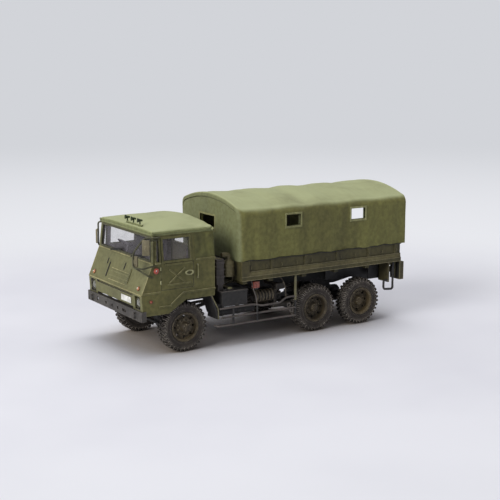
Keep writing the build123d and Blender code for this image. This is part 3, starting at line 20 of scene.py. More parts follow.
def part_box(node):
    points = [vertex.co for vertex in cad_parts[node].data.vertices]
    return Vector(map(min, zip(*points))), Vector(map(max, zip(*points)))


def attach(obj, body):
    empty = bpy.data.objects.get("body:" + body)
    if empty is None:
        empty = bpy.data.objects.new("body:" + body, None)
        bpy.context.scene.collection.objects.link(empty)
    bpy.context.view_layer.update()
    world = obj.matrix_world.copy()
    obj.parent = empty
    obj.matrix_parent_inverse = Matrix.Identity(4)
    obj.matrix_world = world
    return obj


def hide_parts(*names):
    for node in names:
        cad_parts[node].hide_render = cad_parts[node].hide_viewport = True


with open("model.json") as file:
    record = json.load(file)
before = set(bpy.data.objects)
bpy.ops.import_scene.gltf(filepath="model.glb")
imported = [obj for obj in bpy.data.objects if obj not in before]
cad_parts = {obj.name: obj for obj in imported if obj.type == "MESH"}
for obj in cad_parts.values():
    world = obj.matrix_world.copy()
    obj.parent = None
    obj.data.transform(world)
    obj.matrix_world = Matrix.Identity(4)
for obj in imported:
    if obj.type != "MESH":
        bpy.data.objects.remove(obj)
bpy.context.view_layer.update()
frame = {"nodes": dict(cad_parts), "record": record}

MM = 0.001
nodes = frame["nodes"]

# %% [markdown]
# ## Where things are
#
# The truck is laid out from its front axle, as its maker would: d is the distance
# behind that axle. The model's own origin lies under its middle, so one function
# turns X, d and height into a point. The axle's place is read from its node.

# %% Places
front_low, front_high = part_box("tyre_front_left")
axle_y = (front_low.y + front_high.y) / 2


def at(x, d, z):
    """A point of the model, from millimetres across, behind the front axle and up."""
    return Vector((x * MM, axle_y + d * MM, z * MM))


def node_box(name):
    """A node's box in millimetres as X, d and height limits."""
    low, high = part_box(name)
    return (
        (low.x / MM, high.x / MM),
        ((low.y - axle_y) / MM, (high.y - axle_y) / MM),
        (low.z / MM, high.z / MM),
    )


print("front axle at y =", round(axle_y / MM, 2), "mm")

# %% [markdown]
# ## The camera
#
# The photograph was taken from the truck's left front, a little above it, from a third
# of a metre away with a long lens. The camera is placed by those facts: a target inside
# the truck, an azimuth, an elevation and a distance.

# %% Camera
view_azimuth = radians(57.48)
view_elevation = radians(10.38)
view_distance = 329.7 * MM
target = Vector((0.21, -0.10, 23.43)) * MM

camera_data = bpy.data.cameras.new("photo_camera")
camera_data.lens = 78.87
camera_data.sensor_width = 36
camera_data.clip_start = 0.01
camera_data.clip_end = 20
camera = bpy.data.objects.new("photo_camera", camera_data)
back = Vector((
    sin(view_azimuth) * cos(view_elevation),
    -cos(view_azimuth) * cos(view_elevation),
    sin(view_elevation),
))
camera.location = target + back * view_distance
camera.rotation_mode = "QUATERNION"
camera.rotation_quaternion = (-back).to_track_quat("-Z", "Y")
bpy.context.collection.objects.link(camera)
bpy.context.scene.camera = camera
bpy.context.scene.view_settings.view_transform = "Standard"
print("camera at", [round(v / MM) for v in camera.location], "mm")

# %% [markdown]
# ## Small tools for building node trees
#
# Shader trees and geometry trees are both graphs of nodes. One helper adds a node,
# sets its options and fills its inputs: a plain value is written on the socket, and
# another node's output is linked to it.

# %% Node helper
def add_node(tree, kind, inputs=None, **options):
    """Adds a node to a tree, with its options set and its inputs filled or linked."""
    made = tree.nodes.new(kind)
    for name, value in options.items():
        setattr(made, name, value)
    for name, value in (inputs or {}).items():
        socket = made.inputs[name]
        if isinstance(value, bpy.types.NodeSocket):
            tree.links.new(value, socket)
        else:
            socket.default_value = value
    return made


def mix_colours(tree, share, first, second, blend="MIX"):
    """The colour between two, by a share from 0 to 1."""
    made = add_node(tree, "ShaderNodeMix", data_type="RGBA", blend_type=blend)
    for index, value in ((0, share), (6, first), (7, second)):
        if isinstance(value, bpy.types.NodeSocket):
            tree.links.new(value, made.inputs[index])
        else:
            made.inputs[index].default_value = value
    return made.outputs[2]


def spread(tree, value, low, high, to_low=0.0, to_high=1.0):
    """A value rescaled from one range to another, and held inside it."""
    made = add_node(
        tree,
        "ShaderNodeMapRange",
        {"Value": value, "From Min": low, "From Max": high, "To Min": to_low, "To Max": to_high},
        interpolation_type="SMOOTHSTEP",
    )
    return made.outputs["Result"]


def maths(tree, operation, first, second=0.0):
    """One arithmetic step."""
    return add_node(tree, "ShaderNodeMath", {0: first, 1: second}, operation=operation).outputs[0]


print("node helpers ready")

# %% [markdown]
# ## Model paint
#
# A painted kit looks real because of three things that a painter does after the base
# coat. A thin dark wash settles in the corners, a nearly dry brush leaves paler paint on
# raised edges, and dust tones lighten what faces up. All three can be made in a shader.
# Two of them paint light as well: the dark corners are also painted shade, and the pale
# upward faces are also painted light from above, as is a paler tone on forward faces.
# Ambient occlusion finds the corners, a bevel node finds the edges by comparing a
# rounded normal with the true one, and the normal's height finds the upward faces.
# Noise in object coordinates breaks up each of them, so nothing looks machine made.

# %% Colours and empty materials
def linear(red, green, blue):
    """A colour for a shader from the 0 to 255 values that a paint chart gives."""
    def channel(value):
        share = value / 255
        return share / 12.92 if share <= 0.04045 else ((share + 0.055) / 1.055) ** 2.4

    return (channel(red), channel(green), channel(blue), 1.0)


materials = {}


def start_material(name):
    """An empty material, kept by its name. Gives its node tree."""
    made = bpy.data.materials.new(name)
    made.use_nodes = True
    made.node_tree.nodes.clear()
    materials[name] = made
    return made.node_tree


def place_in(tree):
    """Where a point is, in object coordinates."""
    return add_node(tree, "ShaderNodeTexCoord").outputs["Object"]


def normal_in(tree):
    """The true normal of a face."""
    return add_node(tree, "ShaderNodeNewGeometry").outputs["True Normal"]


def noise_in(tree, place, scale, detail, rough=0.5):
    """A noise pattern at a place."""
    inputs = {"Vector": place, "Scale": scale, "Detail": detail, "Roughness": rough}
    return add_node(tree, "ShaderNodeTexNoise", inputs).outputs["Fac"]


def vectors(tree, operation, first, second=None):
    """A vector operation. Gives the node's outputs."""
    inputs = {0: first} if second is None else {0: first, 1: second}
    return add_node(tree, "ShaderNodeVectorMath", inputs, operation=operation).outputs


print("middle grey is", round(linear(128, 128, 128)[0], 3), "in a shader")

# %% [markdown]
# A wash is a multiplied grey where ambient occlusion finds a corner, so it is painted
# shade as well as paint. A dry brush is a paler colour where the rounded normal turns away
# from the true one. Both are the same for paint and for rubber, so each is one function
# with its reach as a value.

# %% Wash and dry brush
def shaded(tree, colour, grey):
    """A colour multiplied by a grey."""
    greys = add_node(tree, "ShaderNodeCombineColor", {0: grey, 1: grey, 2: grey}).outputs[0]
    return mix_colours(tree, 1.0, colour, greys, "MULTIPLY")


def washed_and_shaded(tree, colour, reach, low, high, darkest):
    """The colour darkened in corners, washed and with painted shade, within a reach in millimetres.
    """
    corners = add_node(tree, "ShaderNodeAmbientOcclusion", {"Distance": reach * MM}, samples=6)
    return shaded(tree, colour, spread(tree, corners.outputs["AO"], low, high, darkest, 1.0))


def dry_brushed(tree, colour, edge, radius, sharp, cover):
    """The colour with a paler one on its edges. cover is how much paint the brush left."""
    rounded = add_node(tree, "ShaderNodeBevel", {"Radius": radius * MM}, samples=6).outputs[0]
    same = vectors(tree, "DOT_PRODUCT", rounded, normal_in(tree))["Value"]
    share = maths(tree, "MULTIPLY", spread(tree, same, 0.99, sharp), cover)
    return mix_colours(tree, share, colour, edge)


def end_material(tree, colour, rough, specular, height, strength, depth):
    """Ends a tree with a surface and a fine bump, whose depth is in millimetres."""
    bump = add_node(
        tree, "ShaderNodeBump", {"Height": height, "Strength": strength, "Distance": depth * MM}
    )
    surface = add_node(
        tree,
        "ShaderNodeBsdfPrincipled",
        {"Base Color": colour, "Roughness": rough, "Normal": bump.outputs["Normal"]},
    )
    surface.inputs["Specular IOR Level"].default_value = specular
    add_node(tree, "ShaderNodeOutputMaterial", {"Surface": surface.outputs[0]})
    return surface


print("wash and dry brush ready")

# %% [markdown]
# The base coat is never one flat tone. Broad clouds mix two close olives, and fine brush
# marks vary them. Faces that look forward get a paler tone, painted light from the front,
# faces that look up hold dust and painted light from above, and the inside of the cab was
# left as bare plastic. Each is a share that mixes one more colour in, found from the normal
# or from the place.

# %% Mottling, fading and dust
cab_middle = at(0, -2, 26)


def mottled(tree, place, base, shade, streak):
    """Cloudy patches with brush marks over them, and both patterns."""
    drawn = vectors(tree, "MULTIPLY", place, (1.0, 1.0, streak))[0]
    clouds = noise_in(tree, drawn, 95.0, 4.0, 0.6)
    marks = noise_in(tree, place, 900.0, 3.0, 0.55)
    colour = mix_colours(tree, spread(tree, clouds, 0.35, 0.65), shade, base)
    return shaded(tree, colour, spread(tree, marks, 0.3, 0.7, 0.82, 1.14)), clouds, marks


def inside_share(tree, place, normal):
    """1 on faces that point at the middle of the cab, 0 on its outer skin."""
    outward = vectors(tree, "NORMALIZE", vectors(tree, "SUBTRACT", place, cab_middle)[0])[0]
    facing = vectors(tree, "DOT_PRODUCT", outward, normal)["Value"]
    return spread(tree, facing, -0.05, -0.15)


def lit_ahead(tree, colour, lit_ahead_tone, normal, marks):
    """The colour with a paler one over faces that look forward: painted light from the front."""
    ahead = add_node(tree, "ShaderNodeSeparateXYZ", {0: normal}).outputs["Y"]
    lit_share = spread(tree, ahead, -0.4, -0.85, 0.0, 0.6)
    share = maths(tree, "MULTIPLY", lit_share, spread(tree, marks, 0.3, 0.7, 0.6, 1.0))
    return mix_colours(tree, share, colour, lit_ahead_tone)


def dusted_and_lit(tree, colour, dust, normal, clouds):
    """The colour with dust on faces that look up, which also paints light falling from above."""
    height = add_node(tree, "ShaderNodeSeparateXYZ", {0: normal}).outputs["Z"]
    upward = spread(tree, height, 0.35, 0.95)
    share = maths(tree, "MULTIPLY", upward, spread(tree, clouds, 0.2, 0.6, 0.55, 1.0))
    return mix_colours(tree, share, colour, dust)


print("cab middle at", [round(v / MM, 1) for v in cab_middle], "mm")

# %% [markdown]
# One function now makes every paint on the truck. It starts with the mottled base and
# adds each layer in the order of a model maker's bench: painted light on forward faces,
# dust with painted light on upward faces, then the wash with painted shade in corners,
# and the dry brush last. The cover's clouds are drawn out upright, as streaks of dirt
# run down canvas.

# %% Paint
def paint(
    name, base, shade, edge, dust=None, rough=0.62, wash_and_shade=0.55, worn=0.7, grain=0.25,
    inside=None, streak=1.0, lit_ahead_tone=None,
):
    """Painted plastic: mottled base, corners washed dark with painted shade, pale edges, and dusty
    tops with painted light.

    Colours are paint chart values. inside is the bare plastic of the cab's inner faces,
    the tone for faces that look forward is painted light from the front, and a streak under 1
    draws the mottling out upright, as on hanging canvas.
    """
    tree = start_material(name)
    place, normal = place_in(tree), normal_in(tree)
    colour, clouds, marks = mottled(tree, place, linear(*base), linear(*shade), streak)
    if inside is not None:
        colour = mix_colours(tree, inside_share(tree, place, normal), colour, linear(*inside))
    # Painted light: a paler tone on faces that look forward.
    if lit_ahead_tone is not None:
        colour = lit_ahead(tree, colour, linear(*lit_ahead_tone), normal, marks)
    # Dust, and painted light from above, on faces that look up.
    if dust is not None:
        colour = dusted_and_lit(tree, colour, linear(*dust), normal, clouds)
    # Dark corners: a wash, and painted shade where ambient occlusion finds them.
    colour = washed_and_shaded(tree, colour, 1.1, 0.25, 0.95, 1.0 - wash_and_shade)
    left_on = spread(tree, marks, 0.38, 0.6, 0.25, worn)
    colour = dry_brushed(tree, colour, linear(*edge), 0.16, 0.86, left_on)
    end_material(tree, colour, rough, 0.4, marks, grain, 0.03)


print("paint function ready")

# %% [markdown]
# The cab, roof, canvas and bed are four olives of one family, since a modeller shades one
# colour towards its neighbours. The running gear is nearly black. Each line gives the
# base, the deeper tone of its clouds and the tone of its brushed edges.

# %% The truck's paints
olive_edge = (150, 148, 108)
# A pale tone for upward faces: dust, and painted light from above.
pale_dust_and_top_light = (144, 150, 111)

# The tone given for forward faces is painted light from the front.
paint(
    "cab_paint", (97, 94, 52), (80, 78, 42), olive_edge,
    inside=(104, 97, 104), lit_ahead_tone=(112, 112, 80),
)
paint(
    "roof_paint", (112, 117, 76), (100, 105, 66), olive_edge, pale_dust_and_top_light,
    rough=0.68, wash_and_shade=0.35, worn=0.3,
)
# The cover's upward tone is dust with painted light, and its forward tone is painted light.
paint(
    "cover_paint", (108, 107, 58), (90, 88, 48), olive_edge, pale_dust_and_top_light,
    rough=0.7, wash_and_shade=0.45, worn=0.35, streak=0.22, lit_ahead_tone=(122, 130, 100),
)
paint(
    "quarter_paint", (96, 96, 50), (70, 70, 38), (134, 132, 84),
    rough=0.7, wash_and_shade=0.7, worn=0.4, streak=0.3,
)
paint("frame_paint", (136, 136, 92), (116, 116, 74), (168, 164, 124))
paint("bed_paint", (76, 71, 41), (60, 56, 32), (122, 116, 82))
paint("bracket_paint", (80, 74, 48), (62, 57, 37), (140, 130, 100))
paint("chassis_paint", (44, 43, 42), (32, 32, 34), (104, 98, 92), wash_and_shade=0.6, worn=0.6)
paint("bumper_paint", (76, 73, 68), (60, 57, 54), (126, 120, 112), worn=0.75)
paint("trim_paint", (70, 70, 46), (54, 54, 36), (130, 126, 96))
paint("box_paint", (64, 59, 55), (50, 47, 45), (118, 110, 104))
paint("funnel_paint", (40, 54, 26), (30, 42, 20), (88, 98, 60), worn=0.4)
paint("wheel_paint", (78, 67, 45), (54, 46, 33), (156, 144, 116), wash_and_shade=0.7, worn=0.9)
paint("inner_plastic", (108, 102, 114), (92, 86, 98), (140, 134, 142), wash_and_shade=0.4, worn=0.3)
print(len(materials), "paints")

# %% [markdown]
# ## Rubber, lenses and glazing
#
# Tyres are the model's black plastic under a matt coat, with grey-brown dust rubbed into
# the tread. The same wash, with its painted shade, and dry brush as on the paint pick out the lugs.

# %% Tyre rubber
def tyre_finish():
    """Matt rubber with dust that gathers on the tread."""
    tree = start_material("tyre_finish")
    dirt = noise_in(tree, place_in(tree), 420.0, 4.0, 0.65)
    share = spread(tree, dirt, 0.35, 0.7)
    colour = mix_colours(tree, share, linear(48, 44, 41), linear(66, 60, 54))
    # Painted shade: darker where ambient occlusion finds corners between the lugs, as well as a
    # wash.
    colour = washed_and_shaded(tree, colour, 0.9, 0.2, 0.9, 0.45)
    rubbed = spread(tree, dirt, 0.35, 0.6, 0.45, 1.0)
    colour = dry_brushed(tree, colour, linear(190, 182, 170), 0.14, 0.85, rubbed)
    end_material(tree, colour, 0.8, 0.3, dirt, 0.3, 0.04)


tyre_finish()
print("rubber ready")

# %% [markdown]
# The lamps are drops of clear paint over a colour, so they get a clear coat. The glazing
# is thin clear plastic: most light passes, and a faint grey tint and a gloss are left.
# Alpha is used for that, because a sheet this thin doesn't bend the light. The screens
# are cleaner than the side windows.

# %% Lenses and glazing
def lens_finish(name, colour, deep, coat=0.8):
    """Clear lacquer over a coloured base, a little uneven."""
    tree = start_material(name)
    ripple = noise_in(tree, place_in(tree), 1500.0, 1.0)
    tint = mix_colours(tree, spread(tree, ripple, 0.3, 0.7), linear(*deep), linear(*colour))
    surface = end_material(tree, tint, 0.25, 0.5, ripple, 0.25, 0.04)
    surface.inputs["Coat Weight"].default_value = coat
    surface.inputs["Coat Roughness"].default_value = 0.08


def glazing_finish(name, colour, least, most):
    """Thin clear plastic with faint smears; least and most are how much it hides."""
    tree = start_material(name)
    smear = noise_in(tree, place_in(tree), 260.0, 3.0)
    hidden = spread(tree, smear, 0.3, 0.75, least, most)
    surface = add_node(tree, "ShaderNodeBsdfPrincipled", {"Alpha": hidden, "Roughness": 0.06})
    surface.inputs["Base Color"].default_value = linear(*colour)
    surface.inputs["Specular IOR Level"].default_value = 0.7
    add_node(tree, "ShaderNodeOutputMaterial", {"Surface": surface.outputs[0]})


lens_finish("amber_finish", (196, 128, 70), (140, 80, 40))
lens_finish("lamp_finish", (196, 198, 190), (150, 152, 148))
lens_finish("marker_finish", (152, 76, 56), (112, 50, 38), 0.1)
glazing_finish("glazing_finish", (140, 136, 130), 0.12, 0.22)
glazing_finish("screen_finish", (190, 188, 192), 0.04, 0.09)
paint(
    "plate_paint", (226, 226, 220), (212, 212, 206), (236, 236, 230),
    wash_and_shade=0.3, worn=0.2, grain=0.1,
)
print(len(materials), "finishes in all")

# %% [markdown]
# ## Give every frame piece its finish
#
# The record names a material slot for each piece. A table from slot to finish dresses
# them all in one loop, and a piece that has another look than its slot is named apart.

# %% Finish by slot
finish_of_slot = {
    "tyre_rubber": "tyre_finish",
    "wheel_olive": "wheel_paint",
    "cab_olive": "cab_paint",
    "roof_olive": "roof_paint",
    "canopy_olive": "cover_paint",
    "bed_olive": "bed_paint",
    "clear_glazing": "glazing_finish",
    "interior_grey": "inner_plastic",
    "lamp_lens": "lamp_finish",
    "amber_lens": "amber_finish",
    "plate_white": "plate_paint",
    "trim_dark": "trim_paint",
    "lamp_green": "funnel_paint",
    "bumper_grey": "bumper_paint",
    "bracket_olive": "bracket_paint",
    "box_grey": "box_paint",
    "chassis_black": "chassis_paint",
}
slot_of_node = {row["node"]: row["material_slot"] for row in frame["record"]["subparts"]}
for node_name, piece in nodes.items():
    piece.data.materials.clear()
    piece.data.materials.append(materials[finish_of_slot[slot_of_node[node_name]]])
nodes["front_mudflaps"].data.materials[0] = materials["chassis_paint"]
for name in ("windscreen_glass", "back_glass"):
    nodes[name].data.materials[0] = materials["screen_finish"]
print("dressed", len(nodes), "frame pieces")

# %% [markdown]
# ## Making a piece
#
# Every new piece is a mesh whose place is in its points, so that its object stays at the
# origin. One function links it, smooths it, gives it its finish, and tells the frame
# which body carries it. It also hides the frame pieces that it stands for.

# %% Piece helper
def make_piece(name, mesh, finish, slot, body="truck", stands_for=(), smooth_under=radians(40)):
    """Links a mesh as a finished piece of the truck."""
    piece = bpy.data.objects.new(name, mesh)
    bpy.context.collection.objects.link(piece)
    mesh.materials.clear()
    mesh.materials.append(materials[finish])
    mesh.shade_smooth()
    mesh.set_sharp_from_angle(angle=smooth_under)
    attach(piece, body)
    if stands_for:
        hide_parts(*stands_for)
    return piece


def mesh_from(name, build):
    """A mesh from a function that fills a bmesh."""
    shape = bmesh.new()
    build(shape)
    mesh = bpy.data.meshes.new(name)
    shape.to_mesh(mesh)
    shape.free()
    return mesh


def bridge(shape, near, far):
    """Faces between two closed loops of as many corners."""
    for i in range(len(near)):
        after = (i + 1) % len(near)
        shape.faces.new((near[i], near[after], far[after], far[i]))


def fill_grid(shape, grid):
    """Faces between the rows of a grid."""
    for lower, upper in zip(grid, grid[1:]):
        for i in range(len(lower) - 1):
            shape.faces.new((lower[i], lower[i + 1], upper[i + 1], upper[i]))


print("piece helpers ready")

# %% [markdown]
# ## The canvas cover
#
# Its top sags a little between the hoops, its sides hang in soft upright folds, its
# corners are round, and its lower hem waves. Such a form is best made as one grid that
# follows a rule: one direction runs round the section from hem to hem, and the other
# runs from the middle of the front wall out to its edge, round the corner and back
# along the truck. Each point then moves along its outward direction by the folds.

# %% Cover section
cover_x, cover_d, cover_z = node_box("canopy")
cover_half = cover_x[1] - 0.25
cover_front, cover_rear = cover_d[0], cover_d[1] - 0.22
hem_z, crown_z = cover_z
eave_z = 36.7
shoulder = 2.2
cover_wall = 1.0


def section_points(count):
    """Points round half of the section, from the hem up the side and over to the crown.

    Each row holds x, z, and how much it belongs to the side and to the top.
    """
    rows = []
    side_length = eave_z - hem_z
    top_z = eave_z + 1.12 * shoulder
    top_x = cover_half - shoulder
    side_count = int(count * 0.42)
    corner_count = int(count * 0.16)
    top_count = count - side_count - corner_count
    for step in range(side_count):
        share = step / side_count
        rows.append((cover_half, hem_z + side_length * share, 1.0, 0.0))
    corner_mid = Vector((cover_half - 0.33 * shoulder, eave_z + 0.75 * shoulder))
    start, end = Vector((cover_half, eave_z)), Vector((top_x, top_z))
    control = 2 * corner_mid - (start + end) / 2
    for step in range(corner_count):
        share = step / corner_count
        point = start * (1 - share) ** 2 + control * 2 * share * (1 - share) + end * share**2
        rows.append((point.x, point.y, 1 - share, share))
    rise = crown_z - top_z
    radius = (top_x**2 + rise**2) / (2 * rise)
    half_angle = atan2(top_x, radius - rise)
    for step in range(top_count + 1):
        angle = half_angle * (1 - step / top_count)
        rows.append((radius * sin(angle), crown_z - radius + radius * cos(angle), 0.0, 1.0))
    return rows


half_section = section_points(66)
full_section = [(-x, z, side, top) for x, z, side, top in half_section[:-1]]
full_section += [(x, z, side, top) for x, z, side, top in reversed(half_section)]
print("cover section has", len(full_section), "points")

# %% [markdown]
# Canvas folds aren't even, so noise makes them. Slow noise along the truck gives the
# upright folds, noise on a slant gives the drags between them, and fine noise breaks
# both up. The top sags between hoops by a cosine. The hem waves by two sines.

# %% Folds of the cover
first_hoop = cover_front + 4.0
hoop_pitch = (cover_rear - cover_front - 8.0) / 4


def hoop_share(d):
    """1 over a hoop and 0 midway between two."""
    phase = (d - first_hoop) / hoop_pitch
    return (cos(2 * pi * phase) + 1) / 2


def fold_height(x, d, z, side, top):
    """How far the canvas stands out at a place, in millimetres."""
    wander = Vector((x * 0.05, d * 0.11, z * 0.06))
    broad = noise.noise(wander + Vector((3.1, 0.7, 1.9)))
    upright = noise.noise(Vector((d * 0.33, z * 0.045, x * 0.02)))
    fine = noise.noise(Vector((d * 0.75, z * 0.22 + x * 0.22, 4.2)))
    slanted = noise.noise(Vector((d * 0.2 + z * 0.22, z * 0.08 - d * 0.04, 7.7)))
    side_part = 0.34 * upright + 0.16 * slanted + 0.07 * fine - 0.1
    sag = (1 - hoop_share(d)) * (0.35 + 0.2 * broad)
    cross = noise.noise(Vector((x * 0.12, d * 0.3, 9.4)))
    top_part = -sag + 0.16 * cross + 0.05 * fine - 0.25
    return side * side_part + top * top_part


def hem_wave(d):
    """How far the hem is lifted at a distance behind the front axle."""
    return max(-0.05, 0.16 * sin(2 * pi * (d - cover_front) / 12.1) + 0.1 * sin(d * 1.3))


print("folds ready, with a hoop every", round(hoop_pitch, 1), "mm")

# %% [markdown]
# The rows of the grid run from the middle of the front wall to its rim, round the corner,
# and back to the rear. Each row holds how far it lies inside the outline and behind the
# wall's face, apart for the top and the sides, because their corners differ.

# %% Rows of the cover's grid
# The rim of the front wall: how far inside the outline, and how far behind the wall's face.
# The top has a proud band with a groove under it, and the sides only a round corner.
wall_inset = 2.4
top_round = 0.7
side_round = 1.9
band_proud = 0.15
rim_rows = (
    # top inset, top depth, side inset, side depth
    (2.40, 0.00, 2.40, 0.00),
    (1.66, 0.00, 2.20, 0.00),
    (1.56, 0.24, 2.10, 0.00),
    (1.34, 0.28, 2.00, 0.00),
    (1.26, -band_proud, 1.95, 0.00),
)
wall_rows = 24
corner_rows = 9
length_rows = 190


def cover_rows():
    """Rows of the grid.

    Each is the share of the front wall, the top's inset and depth, the side's inset and
    depth, and the share of the length.
    """
    rows = []
    for step in range(wall_rows):
        rows.append((0.02 + 0.98 * step / wall_rows, wall_inset, 0.0, wall_inset, 0.0, 0.0))
    rows += [(1.0, *rim, 0.0) for rim in rim_rows]
    for step in range(corner_rows + 1):
        angle = pi / 2 * step / corner_rows
        inward, behind = 1 - sin(angle), 1 - cos(angle)
        rows.append((
            1.0,
            top_round * inward,
            top_round * behind - band_proud,
            side_round * inward,
            side_round * behind,
            0.0,
        ))
    top_end, side_end = top_round - band_proud, side_round
    for step in range(1, length_rows + 1):
        rows.append((1.0, 0.0, top_end, 0.0, side_end, step / length_rows))
    return rows


print("the cover's grid has", len(cover_rows()), "rows")

# %% [markdown]
# The canvas lies flat round each window, where the sewn frame holds it, and at the front
# edge. So the folds are multiplied by shares that fall to 0 there, and the finished
# points are joined into faces row by row.

# %% Cover skin
# Windows: X limits, d limits, height limits
side_windows = (
    ((-30, 30), (32.6, 37.5), (32.8, 36.1)),
    ((-30, 30), (56.0, 61.2), (32.8, 36.1)),
)
front_window = ((-5.3, 3.1), (cover_front - 2, cover_front + 3), (31.1, 35.2))
calm_reach = 1.6


def near_window(d, z):
    """0 beside a side window, where its frame holds the canvas flat, and 1 away from it."""
    calm = 1.0
    for _, (d0, d1), (z0, z1) in side_windows:
        away = max(d0 - d, d - d1, z0 - z, z - z1, 0.0)
        calm = min(calm, away / calm_reach)
    return calm


def build_cover(shape):
    """Fills a bmesh with the cover's outer skin."""
    foot = Vector((0.0, hem_z))
    grid = []
    for wall_share, top_inset, top_depth, side_inset, side_depth, length_share in cover_rows():
        row = []
        for x, z, side, top in full_section:
            inset = top_inset * top + side_inset * (1 - top)
            depth = top_depth * top + side_depth * (1 - top)
            d = cover_front + depth
            d += (cover_rear - d) * length_share
            outline = Vector((x, z)) - foot
            flat = foot + outline * wall_share * (1 - inset / outline.length)
            outward = Vector((side if x > 0 else -side, top))
            hold = min(1.0, max(0.0, (d - cover_front) / 3.0))
            hold *= 0.4 + 0.6 * min(1.0, (cover_rear - d) / 1.5)
            hold *= 1 - side * (1 - near_window(d, z))
            flat += outward * fold_height(flat.x, d, flat.y, side, top) * hold
            hem_share = max(0.0, 1 - (z - hem_z) / 3.0) * side
            flat.y += hem_share * hem_wave(d) * hold
            if wall_share < 1.0:
                d += 0.12 * noise.noise(Vector((flat.x * 0.22, flat.y * 0.1, 2.6)))
            row.append(shape.verts.new(at(flat.x, d, flat.y)))
        grid.append(row)
    fill_grid(shape, grid)
    bmesh.ops.recalc_face_normals(shape, faces=shape.faces)


skin = mesh_from("cover_skin", build_cover)
print("cover skin:", len(skin.polygons), "faces")

# %% [markdown]
# The skin gets its thickness from a Solidify modifier, and its windows are cut with
# boxes by a Boolean modifier. Both are applied at once: the evaluated result is read
# back as a plain mesh.

# %% Cover wall and windows
def box_mesh(name, x, d, z):
    """A box between limits in millimetres."""
    def build(shape):
        bmesh.ops.create_cube(shape, size=1.0)
        for vertex in shape.verts:
            vertex.co = at(
                x[0] + (x[1] - x[0]) * (vertex.co.x + 0.5),
                d[0] + (d[1] - d[0]) * (vertex.co.y + 0.5),
                z[0] + (z[1] - z[0]) * (vertex.co.z + 0.5),
            )

    return mesh_from(name, build)


def work_object(name, mesh):
    """A helper object that is removed again."""
    made = bpy.data.objects.new(name, mesh)
    bpy.context.collection.objects.link(made)
    return made


def add_wall(helper, thickness):
    """A modifier that thickens a skin inward, by millimetres."""
    wall = helper.modifiers.new("wall", "SOLIDIFY")
    wall.thickness = thickness * MM
    wall.offset = -1


def add_cut(helper, cutter):
    """A modifier that takes the cutter's shape away."""
    cut = helper.modifiers.new("cut", "BOOLEAN")
    cut.operation = "DIFFERENCE"
    cut.object = cutter
    cut.solver = "EXACT"


def evaluated(helper):
    """The helper's mesh with its modifiers applied. The helper is removed."""
    graph = bpy.context.evaluated_depsgraph_get()
    mesh = bpy.data.meshes.new_from_object(helper.evaluated_get(graph))
    bpy.data.objects.remove(helper)
    return mesh


cover_work = work_object("cover_work", skin)
add_wall(cover_work, cover_wall)
cutters = []
for limits in side_windows + (front_window,):
    cutters.append(work_object("cutter", box_mesh("cutter", *limits)))
    add_cut(cover_work, cutters[-1])
cover_mesh = evaluated(cover_work)
for cutter in cutters:
    bpy.data.objects.remove(cutter)
make_piece(
    "canvas_cover", cover_mesh, "cover_paint", "canopy_olive",
    stands_for=("canopy",), smooth_under=radians(50),
)
print("cover:", len(cover_mesh.polygons), "faces")

# %% [markdown]
# Each window has a flat sewn frame. It is a rectangular ring, made from an outer and an
# inner rectangle that are joined by faces, with its edges softened by a small bevel.

# %% Window frames
frame_width = 0.55
frame_low = 0.5
frame_proud = 0.14


def ring_corners(u, v, grow):
    """The four corners of a rectangle, made larger by a margin all round."""
    return (
        (u[0] - grow, v[0] - grow),
        (u[1] + grow, v[0] - grow),
        (u[1] + grow, v[1] + grow),
        (u[0] - grow, v[1] + grow),
    )


def add_ring(shape, outer, inner, place, low, high):
    """A ring between two outlines. place turns u, v and a depth into a point."""
    loops = []
    for outline, depth in ((outer, low), (outer, high), (inner, high), (inner, low)):
        loops.append([shape.verts.new(place(u, v, depth)) for u, v in outline])
    for near, far in zip(loops, loops[1:] + loops[:1]):
        bridge(shape, near, far)


def build_frames(shape):
    """The window frames of the cover: two on each side and one in front."""
    for _, *limits in side_windows:
        for side in (-1, 1):
            add_ring(
                shape, ring_corners(*limits, frame_width), ring_corners(*limits, 0.0),
                lambda a, b, depth, side=side: at(side * depth, a, b),
                cover_half - frame_low, cover_half + frame_proud,
            )
    limits = front_window[0], front_window[2]
    add_ring(
        shape, ring_corners(*limits, frame_width), ring_corners(*limits, 0.0),
        lambda a, b, depth: at(a, depth, b),
        cover_front + frame_low, cover_front - frame_proud,
    )
    bmesh.ops.recalc_face_normals(shape, faces=shape.faces)
    edges = shape.edges[:]
    bmesh.ops.bevel(shape, geom=edges, offset=0.07 * MM, segments=2, affect="EDGES", profile=0.6)


frames_mesh = mesh_from("cover_window_frames", build_frames)
make_piece("cover_window_frames", frames_mesh, "frame_paint", "canopy_olive")
print("window frames:", len(frames_mesh.polygons), "faces")

# %% [markdown]
# ## Turned, bent and copied shapes
#
# Three tools make most of the fittings. A lathe turns a profile round an axis, for
# wheels, lamps and drums. The axis may point anywhere, so the lathe asks a place function
# for each point. Where the profile touches the axis, one point closes it.

# %% Lathe
def add_lathe(shape, profile, turns, place, closed=False):
    """Revolves (along, radius) pairs.

    place turns an axis position and two cross offsets into a point.
    """
    rings = []
    for along, radius in profile:
        angles = [2 * pi * i / turns for i in range(turns if radius else 1)]
        spots = [place(along, radius * cos(a), radius * sin(a)) for a in angles]
        rings.append([shape.verts.new(spot) for spot in spots])
    pairs = list(zip(rings, rings[1:]))
    if closed:
        pairs.append((rings[-1], rings[0]))
    for near, far in pairs:
        for i in range(turns):
            after = (i + 1) % turns
            corners = [near[i % len(near)], near[after % len(near)]]
            corners += [far[after % len(far)], far[i % len(far)]]
            corners = list(dict.fromkeys(corners))
            if len(corners) > 2:
                shape.faces.new(corners)


